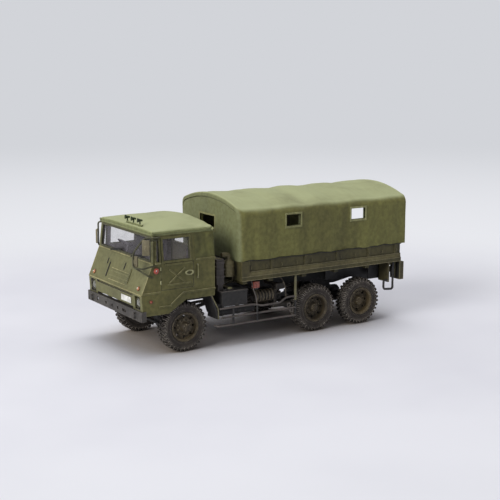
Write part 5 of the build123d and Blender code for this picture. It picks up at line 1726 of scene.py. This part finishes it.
def build_bezels(shape):
    """Bezels of all the small lamps."""
    for x, d, z, radius, out, _ in small_lamps:
        for middle, facing in both_sides(x, d, z, out):
            add_lathe(shape, bezel_profile(radius), 24, facing_place(middle, facing), closed=True)


def build_lens(shape, wanted):
    """The lenses of one finish."""
    for x, d, z, radius, out, finish in small_lamps:
        if finish == wanted:
            for middle, facing in both_sides(x, d, z, out):
                add_lathe(shape, lens_profile(radius), 24, facing_place(middle, facing))


add_piece("lamp_bezels", build_bezels, "bezel_paint", "cab_olive", stands_for=("turn_lamps",))


def build_glints(shape):
    """A dot of gloss white on each nose and side lamp, a painted highlight."""
    for x, d, z, radius, out, _ in small_lamps[:2]:
        drop = [(0.0, 0.24 * radius), (0.08, 0.22 * radius), (0.14, 0.13 * radius), (0.16, 0.0)]
        for middle, facing in both_sides(x, d, z, out):
            spot = Vector(middle) + Vector((0.0, -0.12, 0.14)) + Vector(facing) * 0.34
            add_lathe(shape, drop, 12, facing_place(spot, facing))


# Painted highlights on the nose and side lamps.
add_piece("lamp_glints", build_glints, "plate_paint", "amber_lens")
for finish in ("amber_finish", "signal_finish", "marker_finish"):
    mesh = shaped(finish, lambda shape: build_lens(shape, finish))
    make_piece("lenses_" + finish.split("_")[0], mesh, finish, "amber_lens")
print("small lamps ready:", 2 * len(small_lamps))

# %% [markdown]
# A headlamp sits back in a square opening of the nose. It is a dark bucket, a turned
# bowl with a rolled rim, and a domed glass of its own finish.

# %% Headlamps
headlamp_x, headlamp_z = 14.15, 15.45
lamp_face = -13.35
bowl_profile = (
    (0.0, 1.45), (0.34, 1.45), (0.42, 1.38), (0.42, 1.26), (0.3, 1.22), (0.05, 1.15), (0.0, 1.0),
)


def build_bowls(shape):
    """Headlamp buckets in their openings, with rims."""
    for side in (-1, 1):
        x = side * headlamp_x
        add_block(shape, (x - 1.55, x + 1.55), (lamp_face + 0.02, -12.5), (13.6, 17.3), 0.08)
        place = facing_place((x, lamp_face, headlamp_z), (0, -1, 0))
        add_lathe(shape, bowl_profile, 32, place, closed=True)


def build_glasses(shape):
    """Domed headlamp glasses."""
    dome = ((0.03, 1.2), (0.2, 1.2), (0.38, 0.95), (0.5, 0.5), (0.54, 0.0))
    for side in (-1, 1):
        place = facing_place((side * headlamp_x, lamp_face, headlamp_z), (0, -1, 0))
        add_lathe(shape, dome, 32, place)


add_piece("headlamp_buckets", build_bowls, "trim_paint", "trim_dark", stands_for=("headlamps",))
lens_finish("headlamp_finish", (118, 118, 104), (66, 64, 56))
add_piece("headlamp_glasses", build_glasses, "headlamp_finish", "lamp_lens")
print("headlamps ready")

# %% [markdown]
# On the roof's front edge stands a bar with three small funnels on posts. They are
# turned, and they point ahead and a little up.

# %% Roof funnels
funnel_profile = (
    (-0.9, 0.0), (-0.9, 0.26), (-0.7, 0.36), (-0.2, 0.42), (0.2, 0.5), (0.6, 0.64), (0.85, 0.78),
    (0.85, 0.66), (0.5, 0.46), (0.3, 0.34), (0.25, 0.0),
)
funnel_scale = 0.8
lamp_d, bar_z = -9.1, 35.36


def build_funnels(shape):
    """Three funnels on short posts."""
    small = [(along * funnel_scale, across * funnel_scale) for along, across in funnel_profile]
    for x in (-0.9, 2.9, 6.8):
        add_bar(shape, [(x, lamp_d, bar_z + 0.2), (x, lamp_d, bar_z + 1.1)], 0.18)
        add_lathe(shape, small, 24, facing_place((x, lamp_d, bar_z + 1.3), (-0.15, -1, 0.1)))


def build_lamp_bar(shape):
    """The bar that carries them, painted with the roof."""
    around = (lamp_d - 0.28, lamp_d + 0.28)
    add_block(shape, (-1.2, 8.2), around, (bar_z - 0.25, bar_z + 0.24), 0.12)


add_piece("roof_funnels", build_funnels, "funnel_paint", "lamp_green", stands_for=("roof_lamps",))
add_piece("lamp_bar", build_lamp_bar, "roof_paint", "lamp_green")
print("roof lamps ready")

# %% [markdown]
# ## Inside the cab
#
# Through the glass show a wheel with three spokes on its column, dials on the dashboard
# and levers between the seats. The wheel is bare grey plastic, as unpainted kit parts are,
# and the levers and dials are painted dark.

# %% Steering wheel
wheel_middle = Vector((-10.0, -4.4, 27.0))
wheel_axis = Vector((0, 0.5, 0.87)).normalized()
rim_radius = 3.3


def build_steering(shape):
    """Rim, spokes, boss and column."""
    place = facing_place(wheel_middle, wheel_axis)
    add_lathe(shape, round_section(0.24, rim_radius, 10), 48, place, closed=True)
    add_lathe(shape, ((-0.3, 0.0), (-0.3, 0.6), (0.1, 0.7), (0.3, 0.5), (0.35, 0.0)), 24, place)
    across = wheel_axis.orthogonal().normalized()
    up = wheel_axis.cross(across)
    for spoke in range(3):
        angle = 2 * pi * spoke / 3 + 0.4
        tip = wheel_middle + (across * cos(angle) + up * sin(angle)) * (rim_radius - 0.05)
        add_bar(shape, [wheel_middle, tip], 0.17, sides=8)
    add_bar(shape, [wheel_middle, (-9.0, -8.8, 17.3)], 0.33)


paint("wheel_plastic", (84, 78, 88), (68, 62, 72), (120, 114, 124), wash_and_shade=0.4, worn=0.4)
add_piece(
    "steering", build_steering, "wheel_plastic", "interior_grey", stands_for=("steering_wheel",)
)
print("steering wheel:", 2 * rim_radius, "mm across")

# %% [markdown]
# A lever is a thin bar with a turned ball on it. The dials are rings on the dashboard's
# rear face.

# %% Levers and dials
def build_levers(shape):
    """Gear levers with knobs, and the dials' rims on the dashboard."""
    for x, d, lean in ((-3.4, -1.2, -0.6), (-1.6, -0.6, 0.3)):
        add_bar(shape, [(x, d, 16.9), (x + lean, d - 0.8, 21.4)], 0.15, sides=8)
        ball = [(-0.35 * cos(pi * i / 6), 0.35 * sin(pi * i / 6)) for i in range(1, 6)]
        ball = [(-0.35, 0.0)] + ball + [(0.35, 0.0)]
        add_lathe(shape, ball, 12, facing_place((x + lean, d - 0.8, 21.6), (0, 0, 1)))
    for x in (-11.6, -10.2, -7.9, -6.4):
        add_lathe(
            shape, ((-0.05, 0.5), (0.12, 0.5), (0.12, 0.4), (0.02, 0.38)), 16,
            facing_place((x, -7.2, 23.8), (0, 1, 0)), closed=True,
        )


add_piece("levers", build_levers, "dark_paint", "interior_grey")
print("cab interior ready")

# %% [markdown]
# ## Between and under
#
# The working parts between the cab and the rear wheels follow the frame's solids, with
# round section and bent corners. The air cleaner is a turned drum with two bands. Its
# elbow is a thick bar, and thin bent handles stand on the cab's rear wall.

# %% Air cleaner
drum_x, drum_d = 14.0, 14.9


def build_cleaner(shape):
    """Air cleaner drum with bands, its elbow, its shelf and the handles ahead of it."""
    body = (
        (0.0, 0.0), (0.0, 1.4), (0.14, 1.62), (1.0, 1.62), (1.1, 1.74), (1.3, 1.74), (1.4, 1.62),
        (2.9, 1.62), (3.0, 1.74), (3.2, 1.74), (3.3, 1.62), (4.1, 1.6), (4.4, 1.4), (4.6, 0.95),
        (4.8, 0.9), (4.9, 0.0),
    )
    elbow = ((drum_x, drum_d, 24.2), (drum_x, drum_d, 25.9), (drum_x, 12.6, 25.9))
    drain = ((14.2, 16.1, 19.9), (13.6, 16.6, 18.2), (11.6, 15.4, 16.9), (11.6, 14.9, 16.4))
    add_lathe(shape, body, 32, facing_place((drum_x, drum_d, 19.6), (0, 0, 1)))
    add_bar(shape, elbow, 0.68, 1.3, 16)
    add_block(shape, (5.4, 14.6), (14.0, 15.2), (16.02, 16.6), 0.06)
    add_bar(shape, drain, 0.24, 0.8)
    for d, z in ((8.9, 25.6), (9.2, 23.2)):
        add_bar(shape, [(15.2, d, z), (15.2, 11.9, z - 0.5), (15.2, 12.2, z - 1.1)], 0.16, 0.4, 8)


add_piece(
    "air_cleaner_drum", build_cleaner, "bracket_paint", "bracket_olive", stands_for=("air_cleaner",)
)
print("air cleaner ready")

# %% [markdown]
# The silencer is a ribbed drum on its side, so it is turned too. The tops of its ribs are
# rings of their own in a paler paint, where the dry brush left most. The exhaust, a thick
# pipe under the drum and thin air lines run past it.

# %% Silencer and pipes
silencer_x, silencer_d, silencer_z = 13.0, 23.7, 12.4
rib_total, rib_pitch, first_rib = 6, 1.06, 0.5

silencer_profile = [(0.0, 0.0), (0.0, 1.2), (0.15, 1.45)]
for rib in range(rib_total):
    start = first_rib + rib * rib_pitch
    silencer_profile += [(start, 1.46), (start + 0.18, 1.66)]
    silencer_profile += [(start + 0.34, 1.66), (start + 0.52, 1.46)]
silencer_profile += [(6.75, 1.45), (6.9, 1.2), (6.9, 0.0)]
exhaust = (
    (3.2, 3.0, 11.6), (7.2, 4.0, 11.4), (8.4, 9.6, 12.0), (8.9, 21.2, 12.2),
    (silencer_x, 23.0, silencer_z), (silencer_x, 23.9, silencer_z),
)
air_lines = (
    ((15.6, 31.2, 18.2), (16.4, 32.2, 16.6), (16.8, 32.6, 14.4), (16.9, 32.7, 12.0)),
    ((9.0, 13.0, 16.2), (9.6, 18.0, 16.6), (9.4, 30.0, 16.4), (7.0, 34.0, 16.2)),
)


def on_silencer(along):
    """A place function on the drum's axis, that many millimetres behind its front end."""
    return facing_place((silencer_x, silencer_d + along, silencer_z), (0, 1, 0))


def build_silencer(shape):
    """Ribbed drum, its tail pipe and its bracket from the frame."""
    add_lathe(shape, silencer_profile, 36, on_silencer(0))
    tail = [(silencer_x, 30.4, silencer_z), (silencer_x, 33.2, silencer_z)]
    add_bar(shape, tail, 0.46, sides=14)
    add_block(shape, (5.9, silencer_x), (26.6, 27.4), (13.4, 13.9), 0.05)


def build_silencer_ribs(shape):
    """The tops of its ribs."""
    ring = ((-0.16, 1.6), (-0.1, 1.76), (0.1, 1.76), (0.16, 1.6))
    for rib in range(rib_total):
        middle = first_rib + 0.26 + rib * rib_pitch
        add_lathe(shape, ring, 36, on_silencer(middle), closed=True)


def build_pipes(shape):
    """Exhaust, air lines, and the pipe and blocks behind the drum."""
    add_bar(shape, exhaust, 0.42, 1.4)
    for line in air_lines:
        add_bar(shape, line, 0.13, 1.2, 8)
    add_bar(shape, [(13.0, 30.4, 9.0), (13.0, 36.6, 8.9)], 0.75, 1.0, 14)
    add_block(shape, (12.5, 13.5), (31.4, 34.4), (13.6, 15.4), 0.1)
    add_block(shape, (5.9, 12.6), (32.2, 33.2), (14.2, 15.2), 0.05)
    add_block(shape, (12.7, 13.3), (31.0, 31.8), (9.4, 13.7), 0.05)


paint("silencer_paint", (62, 55, 46), (46, 42, 38), (156, 142, 116), wash_and_shade=0.6, worn=1.0)
paint("rib_paint", (134, 122, 100), (84, 76, 62), (170, 158, 132), wash_and_shade=0.5)
add_piece("silencer", build_silencer, "silencer_paint", "chassis_black", stands_for=("muffler",))
add_piece("silencer_ribs", build_silencer_ribs, "rib_paint", "chassis_black")
add_piece("pipes", build_pipes, "silencer_paint", "chassis_black")
print("silencer ready with", rib_total, "ribs")

# %% [markdown]
# Rails guard each side between the wheels. They are bent tube, so each is a route for a
# bar, mirrored to the other side. Short dark stays tie them together, bent rods hang the
# upper one, and a tall pale post carries their rear ends from the bed.

# %% Guard rails
rail_x = 17.1
guard_rails = (
    (
        (rail_x, 10.2, 11.2), (rail_x, 21.8, 11.2), (rail_x, 24.2, 10.5), (rail_x, 30.6, 10.6),
        (rail_x, 32.6, 11.9), (rail_x, 35.9, 11.9),
    ),
    ((rail_x, 10.7, 8.55), (rail_x, 35.9, 8.55)),
    ((15.1, 9.6, 6.2), (rail_x, 9.6, 6.2), (rail_x, 35.9, 6.2)),
)
# Stays: d, lower and upper height
rail_stays = ((14.6, 6.2, 11.2), (22.6, 6.2, 10.9), (35.9, 6.0, 11.9))


def build_guards(shape):
    """Three rails down each side."""
    for rail in guard_rails:
        add_bars(shape, rail, 0.29, 0.9)


def build_guard_stays(shape):
    """Dark stays between the rails."""
    for d, low, high in rail_stays:
        add_blocks(shape, (rail_x - 0.25, rail_x + 0.25), (d - 0.25, d + 0.25), (low, high), 0.1)


def build_hangers(shape):
    """Bent rods that hang the upper rails, and rings on the lower ones."""
    add_bars(shape, [(rail_x, 22.6, 10.7), (16.95, 22.35, 13.4), (16.2, 21.8, 15.5)], 0.18, 1.2)
    add_bars(shape, [(16.3, 21.9, 15.4), (15.9, 21.3, 18.3)], 0.18)
    for side in (-1, 1):
        for d, z in ((33.6, 9.5), (34.6, 7.9)):
            place = facing_place((side * rail_x, d, z), (1, 0, 0))
            add_lathe(shape, round_section(0.13, 0.55, 8), 20, place, closed=True)


def build_guard_posts(shape):
    """The tall rear posts."""
    add_blocks(shape, (rail_x - 0.3, rail_x + 0.3), (35.6, 36.2), (10.8, 18.28), 0.1)


paint("guard_paint", (88, 82, 78), (66, 62, 60), (150, 142, 134), wash_and_shade=0.35, worn=0.9)
paint("post_paint", (112, 108, 80), (90, 86, 62), (146, 140, 110), wash_and_shade=0.3)
add_piece("guard_rails", build_guards, "guard_paint", "chassis_black", stands_for=("side_guards",))
add_piece("guard_stays", build_guard_stays, "chassis_paint", "chassis_black")
add_piece("guard_hangers", build_hangers, "guard_paint", "chassis_black")
add_piece("guard_posts", build_guard_posts, "post_paint", "chassis_black")
print("guards ready:", len(guard_rails), "rails on each side")

# %% [markdown]
# Stirrup steps hang behind the rear wheels, and the fuel tank sits on the right in two
# straps. The tank is a soft block, the straps are slightly larger ones, and its cap is
# turned. A small red box stands on an arm under the bed.

# %% Steps, fuel tank and marker
def build_steps(shape):
    """Stirrup steps behind the rear wheels."""
    x = 16.6
    route = ((x, 73.0, 18.3), (x, 73.0, 9.6), (x, 69.4, 9.9), (x, 69.4, 12.6), (x, 70.8, 12.6))
    add_bars(shape, route, 0.34, 0.8)


def build_tank(shape):
    """Fuel tank with straps and cap."""
    add_block(shape, (-16.5, -10.5), (11.0, 25.0), (10.7, 15.7), 0.95)
    for d in (14.0, 22.0):
        add_block(shape, (-16.64, -10.36), (d - 0.4, d + 0.4), (10.56, 15.84), 0.95)
        add_block(shape, (-10.6, -5.9), (d - 0.4, d + 0.4), (13.6, 14.4), 0.05)
    cap = ((-0.1, 0.6), (0.4, 0.6), (0.5, 0.5), (0.7, 0.48), (0.75, 0.4), (0.75, 0.0))
    add_lathe(shape, cap, 24, facing_place((-14.5, 12.8, 15.7), (0, 0, 1)))


def build_marker(shape):
    """The small red box."""
    add_block(shape, (15.4, 16.6), (21.7, 23.8), (15.7, 17.6), 0.15)


def build_marker_arm(shape):
    """Its arm from the rail of the frame."""
    add_block(shape, (5.9, 16.6), (22.2, 23.3), (15.3, 15.74), 0.05)


add_piece("stirrups", build_steps, "chassis_paint", "chassis_black", stands_for=("rear_steps",))
add_piece(
    "fuel_tank_shell", build_tank, "chassis_paint", "chassis_black", stands_for=("fuel_tank",)
)
add_piece("marker_lamp", build_marker, "marker_finish", "amber_lens", stands_for=("marker_box",))
add_piece("marker_arm", build_marker_arm, "chassis_paint", "chassis_black")
print("steps, fuel tank and marker ready")

# %% [markdown]
# An air tank lies under the battery box in two straps. Behind the front flaps hang flat
# rubbers, and plates tie the rear flaps to the frame. The photo shows pale worn lines on
# the flaps and the box's lid, which thin bars along their edges give.

# %% Air tank, flaps and lid
def build_air_tank(shape):
    """Air tank with domed ends in two straps, and its drain."""
    x, z = 14.4, 9.7
    tank = (
        (0.0, 0.0), (0.05, 0.6), (0.3, 1.0), (0.7, 1.15), (11.9, 1.15), (12.3, 1.0), (12.55, 0.6),
        (12.6, 0.0),
    )
    strap = ((-0.3, 1.1), (-0.3, 1.25), (0.3, 1.25), (0.3, 1.1))
    add_lathe(shape, tank, 28, facing_place((x, 10.6, z), (0, 1, 0)))
    for d in (12.4, 17.6):
        add_lathe(shape, strap, 28, facing_place((x, d, z), (0, 1, 0)), closed=True)
        add_block(shape, (x - 0.8, x + 0.8), (d - 0.3, d + 0.3), (10.5, 11.68), 0.04)
    add_bar(shape, [(15.3, 19.6, 9.6), (15.8, 19.6, 9.6)], 0.24)


def build_flap_rubbers(shape):
    """Rubber that hangs straight down from each front flap's foot."""
    add_blocks(shape, (11.25, 16.74), (9.55, 9.88), (8.2, 11.0), 0.08)
    add_blocks(shape, (13.6, 16.4), (9.6, 11.05), (11.0, 12.4), 0.08)


def build_flap_edges(shape):
    """Pale outer edges of the front flaps."""
    add_bars(shape, ((16.78, 7.75, 15.3), (16.78, 9.86, 11.1), (16.78, 9.92, 8.3)), 0.16, 0.5, 8)


def build_lid_edges(shape):
    """Worn edges of the battery box's lid."""
    corners = ((11.1, 11.0, 15.93), (17.08, 11.0, 15.93), (17.08, 19.25, 15.93))
    add_bar(shape, corners, 0.11, 0.12, 8)


def build_flap_plates(shape):
    """Dark plates that stiffen the rear flaps and tie them to the frame."""
    add_blocks(shape, (12.0, 12.35), (66.6, 70.9), (12.6, 18.25), 0.06)
    add_blocks(shape, (9.6, 10.0), (52.0, 70.9), (13.5, 18.25), 0.06)
    add_blocks(shape, (9.6, 12.35), (70.5, 70.85), (13.0, 18.25), 0.06)


add_piece("flap_edges", build_flap_edges, "post_paint", "chassis_black")
add_piece("lid_edges", build_lid_edges, "guard_paint", "chassis_black")
add_piece("flap_plates", build_flap_plates, "chassis_paint", "chassis_black")
add_piece("air_tank", build_air_tank, "chassis_paint", "chassis_black")
add_piece("flap_rubbers", build_flap_rubbers, "chassis_paint", "chassis_black")
print("air tank and flaps ready")

# %% [markdown]
# On the battery box's lid sits a round filler with a bright cap.

# %% Filler
filler_x, filler_d = 14.6, 14.9


def build_filler(shape):
    """Round filler on the battery box's lid."""
    ring = ((-0.1, 1.25), (0.22, 1.25), (0.3, 1.15), (0.3, 0.7), (0.26, 0.0))
    add_lathe(shape, ring, 32, facing_place((filler_x, filler_d, 15.9), (0, 0, 1)))


def build_filler_cap(shape):
    """Its bright cap."""
    cap = ((0.0, 0.72), (0.2, 0.72), (0.32, 0.6), (0.38, 0.3), (0.39, 0.0))
    add_lathe(shape, cap, 24, facing_place((filler_x, filler_d, 16.15), (0, 0, 1)))


add_piece("filler", build_filler, "box_paint", "chassis_black")
add_piece("filler_cap", build_filler_cap, "handle_paint", "chassis_black")
print("filler ready")

# %% [markdown]
# ## Bolts and bed fittings
#
# Rows of bolt heads along the bed rail, the frame, the bumper and the battery box come
# from the bolt tree. Each row needs only its line, its spacing and the way it faces.

# %% Rows of bolts
left, right, forward = (1, 0, 0), (-1, 0, 0), (0, -1, 0)

bed_bolts = []
# Rows on the bed: first and last d, X, height, spacing, radius
for d0, d1, x, z, spacing, radius in (
    (18.6, 74.8, 17.5, 18.95, 2.93, 0.13),
    (20.6, 74.6, 17.22, 20.6, 5.9, 0.12),
):
    for facing in (left, right):
        line = ((facing[0] * x, d0, z), (facing[0] * x, d1, z))
        bed_bolts.append(bolts((line,), spacing, facing, "bed_paint", radius, 0.14))
make_piece("bed_bolts", joined("bed_bolts", bed_bolts), "bed_paint", "bed_olive")

frame_bolts = []
for x, facing in ((5.93, left), (-5.93, right)):
    for z in (13.7, 15.5):
        line = ((x, -11.5, z), (x, 73.5, z))
        frame_bolts.append(bolts((line,), 2.6, facing, "chassis_paint", 0.14, 0.14))
for z in (15.2, 12.1):
    line = ((17.02, 11.4, z), (17.02, 18.9, z))
    frame_bolts.append(bolts((line,), 1.5, left, "chassis_paint", 0.12, 0.12))
make_piece("frame_bolts", joined("frame_bolts", frame_bolts), "chassis_paint", "chassis_black")

bumper_face = -14.42
row = ((-15.4, bumper_face, 12.9), (15.4, bumper_face, 12.9))
ends = (
    ((-16.4, bumper_face, 11.1), (-14.6, bumper_face, 11.1)),
    ((14.6, bumper_face, 11.1), (16.4, bumper_face, 11.1)),
)
bumper_bolts = [
    bolts((row,), 3.85, forward, "bumper_paint", 0.16, 0.16),
    bolts(ends, 1.8, forward, "bumper_paint", 0.2, 0.18),
]
make_piece("bumper_bolts", joined("bumper_bolts", bumper_bolts), "bumper_paint", "bumper_grey")
print("rows of bolts:", len(bed_bolts) + len(frame_bolts) + len(bumper_bolts))

# %% [markdown]
# The bed's rails have pale worn edges, and the tailgate has hinge barrels. Along the
# cover's hem runs a dark bar, painted shadow under the hem, which takes the same wave as
# the hem. The tail lamps have dark blocks of painted shade on their fronts, pale straps
# and red lenses.

# %% Bed edges, hem and tail lamps
paint("bed_edge_paint", (108, 102, 72), (92, 88, 62), (146, 138, 106), wash_and_shade=0.35, worn=0.9)


def build_bed_edges(shape):
    """Worn edges of the rails and hinge barrels of the tailgate."""
    for x, z, radius in ((17.46, 19.46, 0.12), (17.46, 18.36, 0.12), (17.18, 20.76, 0.1)):
        add_bars(shape, [(x, 17.25, z), (x, 75.35, z)], radius, sides=8)
    for x in (-12.0, -4.0, 4.0, 12.0):
        add_bar(shape, [(x - 0.8, 75.75, 19.5), (x + 0.8, 75.75, 19.5)], 0.26, sides=10)


def build_hem_shadow(shape):
    """A dark bar along the cover's hem, painted shadow under it, which follows its wave."""
    steps = [18.2 + step * 1.17 for step in range(50)]
    add_bars(shape, [(17.22, d, hem_z + hem_wave(d) - 0.02) for d in steps], 0.13, 0.3, 8)


def build_lamp_shade(shape):
    """Dark blocks on the front of each tail lamp block, painted shade in the gap there."""
    add_blocks(shape, (13.0, 16.9), (75.02, 75.3), (12.8, 17.7), 0.08)


def build_lamp_straps(shape):
    """Pale straps of the tail lamp blocks."""
    add_bars(shape, [(15.2, 74.98, 13.0), (15.2, 74.98, 17.6)], 0.2, sides=8)
    add_bars(shape, [(17.2, 75.3, 12.5), (17.2, 75.3, 17.9)], 0.12, sides=8)


def build_tail_lenses(shape):
    """Red lenses on the rear of the blocks."""
    for x in (-15.9, -13.9, 13.9, 15.9):
        add_lathe(shape, lens_profile(0.75), 24, facing_place((x, 76.8, 15.6), (0, 1, 0)))


add_piece("bed_edges", build_bed_edges, "bed_edge_paint", "bed_olive")
# Painted shadow under the cover's hem.
add_piece("hem_shadow_line", build_hem_shadow, "dark_paint", "canopy_olive")
# Painted shade in front of the tail lamp blocks.
add_piece("lamp_shade_blocks", build_lamp_shade, "dark_paint", "bracket_olive")
add_piece("lamp_straps", build_lamp_straps, "post_paint", "bracket_olive")
add_piece("tail_lenses", build_tail_lenses, "signal_finish", "amber_lens")
print("bed edges, hem and tail lamps ready")

# %% [markdown]
# A sloping band closes the step between the bed's rail and its moulding, and rope hooks
# stand along it. Plates deepen the frame above the bogie, where the real one carries
# most. Band and plates are prisms: one outline at each end, joined by faces.

# %% Bands, hooks and frame plates
hook_total, hook_pitch = 11, 5.3


def add_prism(shape, near, far):
    """A solid between two outlines in X, d and height."""
    ends = [[shape.verts.new(at(*corner)) for corner in outline] for outline in (near, far)]
    bridge(shape, *ends)
    for end in ends:
        shape.faces.new(end)


def build_bands(shape):
    """Sloping bands between the rail and the moulding above it."""
    section = ((17.4, 19.3), (17.46, 19.46), (17.26, 20.5), (17.1, 20.6), (16.95, 19.3))
    for side in (-1, 1):
        add_prism(shape, *([(side * x, d, z) for x, z in section] for d in (19.9, 75.3)))


def build_hooks(shape):
    """Rope hooks along the bed side."""
    for number in range(hook_total):
        d = 20.4 + number * hook_pitch
        hook = ((17.05, d, 22.3), (17.5, d, 22.3), (17.5, d, 21.6), (17.05, d, 21.6))
        add_bars(shape, hook, 0.1, 0.25, 6)


def build_doublers(shape):
    """Plates that deepen each rail of the frame above the bogie."""
    outline = (
        (50.5, 13.2), (50.5, 11.8), (52.5, 11.4), (58.5, 11.4), (65.6, 12.6), (67.0, 11.4),
        (72.2, 10.9), (74.0, 13.2),
    )
    for side in (-1, 1):
        add_prism(shape, *([(side * x, d, z) for d, z in outline] for x in (5.0, 5.75)))


paint("band_paint", (98, 92, 60), (82, 76, 48), (140, 132, 100), wash_and_shade=0.4)
add_piece("bed_bands", build_bands, "band_paint", "bed_olive")
add_piece("rope_hooks", build_hooks, "bed_paint", "bed_olive")
add_piece("frame_doublers", build_doublers, "chassis_paint", "chassis_black")
print("bands, plates and", 2 * hook_total, "hooks ready")

# %% [markdown]
# ## Floor and light
#
# The model stands on a pale, slightly violet paper sweep. A round bowl does the same for
# every view: flat under the truck, then rising in a wide curve, so no horizon shows. Its
# paper has a faint grain and a painted shadow, warm and dark, close round the truck. Away
# from the truck, what the camera and reflections see glows instead, as a painted pool of
# light: brighter near the truck, and one plain duller tone far away.

# %% Paper sweep
paper_low, paper_high = (202, 204, 214), (210, 212, 221)


def sweep_finish():
    """Pale paper with a faint grain and a painted shadow near the truck; further out it glows as a
    painted pool of light that fades to one plain tone.
    """
    tree = start_material("paper_sweep")
    place = place_in(tree)
    share = spread(tree, noise_in(tree, place, 14.0, 3.0), 0.3, 0.7)
    tint = mix_colours(tree, share, linear(*paper_low), linear(*paper_high))
    # Painted shadow: warm dark paper where ambient occlusion finds the truck close.
    near = add_node(tree, "ShaderNodeAmbientOcclusion", {"Distance": 22 * MM}, samples=8)
    share = spread(tree, near.outputs["AO"], 0.15, 0.8)
    tint = mix_colours(tree, share, linear(150, 138, 126), tint)
    paper = add_node(tree, "ShaderNodeBsdfPrincipled", {"Base Color": tint, "Roughness": 0.9})
    paper.inputs["Specular IOR Level"].default_value = 0.1
    distance = vectors(tree, "LENGTH", place)["Value"]
    rays = add_node(tree, "ShaderNodeLightPath").outputs
    seen = maths(tree, "MAXIMUM", rays["Is Glossy Ray"], rays["Is Transmission Ray"])
    seen = maths(tree, "MAXIMUM", rays["Is Camera Ray"], seen)
    share = spread(tree, distance, 0.1, 0.7)
    # Painted pool of light: the glow is brighter near the truck and duller far off.
    pool_of_light_tone = mix_colours(tree, share, linear(233, 234, 239), linear(210, 212, 217))
    plain = add_node(tree, "ShaderNodeEmission", {"Color": pool_of_light_tone, "Strength": 1.0})
    share = maths(tree, "MULTIPLY", seen, spread(tree, distance, 0.07, 0.2))
    mixed = {0: share, 1: paper.outputs[0], 2: plain.outputs[0]}
    surface = add_node(tree, "ShaderNodeMixShader", mixed)
    add_node(tree, "ShaderNodeOutputMaterial", {"Surface": surface.outputs[0]})


sweep_finish()
flat_radius = 0.9
curve_radius = 0.9
curve_steps = 12
sweep_rings = [(0.3, 0.0), (flat_radius, 0.0)]
for step in range(1, curve_steps + 1):
    angle = pi / 2 * step / curve_steps
    sweep_rings.append((flat_radius + curve_radius * sin(angle), curve_radius * (1 - cos(angle))))


def build_sweep(shape):
    """Revolves the sweep's profile round the vertical."""
    turns = 96
    angles = [2 * pi * i / turns for i in range(turns)]
    rings = [
        [shape.verts.new((radius * cos(angle), radius * sin(angle), height)) for angle in angles]
        for radius, height in sweep_rings
    ]
    centre = shape.verts.new((0, 0, 0))
    for i in range(turns):
        shape.faces.new((centre, rings[0][i], rings[0][(i + 1) % turns]))
    for inner, outer in zip(rings, rings[1:]):
        bridge(shape, outer, inner)


sweep_mesh = mesh_from("paper_sweep", build_sweep)
sweep_mesh.materials.append(materials["paper_sweep"])
sweep_mesh.shade_smooth()
sweep = bpy.data.objects.new("paper_sweep", sweep_mesh)
bpy.context.collection.objects.link(sweep)
print("sweep is", 2 * (flat_radius + curve_radius), "m across")

# %% [markdown]
# The light is one big soft lamp above and a little behind, with another in front, and the
# world fills the rest. Large lamps near a small model give the soft shadows of the photo.

# %% Lamps and world
warm_white = (1.0, 0.98, 0.95)


def add_lamp(name, place, aim, size, power, colour):
    """A square soft lamp that looks at a point."""
    lamp_data = bpy.data.lights.new(name, "AREA")
    lamp_data.size = size
    lamp_data.energy = power
    lamp_data.color = colour
    lamp = bpy.data.objects.new(name, lamp_data)
    lamp.location = place
    lamp.rotation_mode = "QUATERNION"
    lamp.rotation_quaternion = (Vector(aim) - Vector(place)).to_track_quat("-Z", "Y")
    bpy.context.collection.objects.link(lamp)


add_lamp("soft_top", (-0.14, 0.14, 0.64), (0, 0, 0.02), 0.5, 2.9, warm_white)
add_lamp("soft_front", (0.16, -0.66, 0.38), (0, 0, 0.02), 0.4, 4.6, warm_white)
world = bpy.data.worlds.new("studio")
bpy.context.scene.world = world
world.use_nodes = True
world.node_tree.nodes.clear()
fill = {"Color": (0.94, 0.92, 0.91, 1.0), "Strength": 0.42}
sky = add_node(world.node_tree, "ShaderNodeBackground", fill)
add_node(world.node_tree, "ShaderNodeOutputWorld", {"Surface": sky.outputs[0]})
print("light ready")
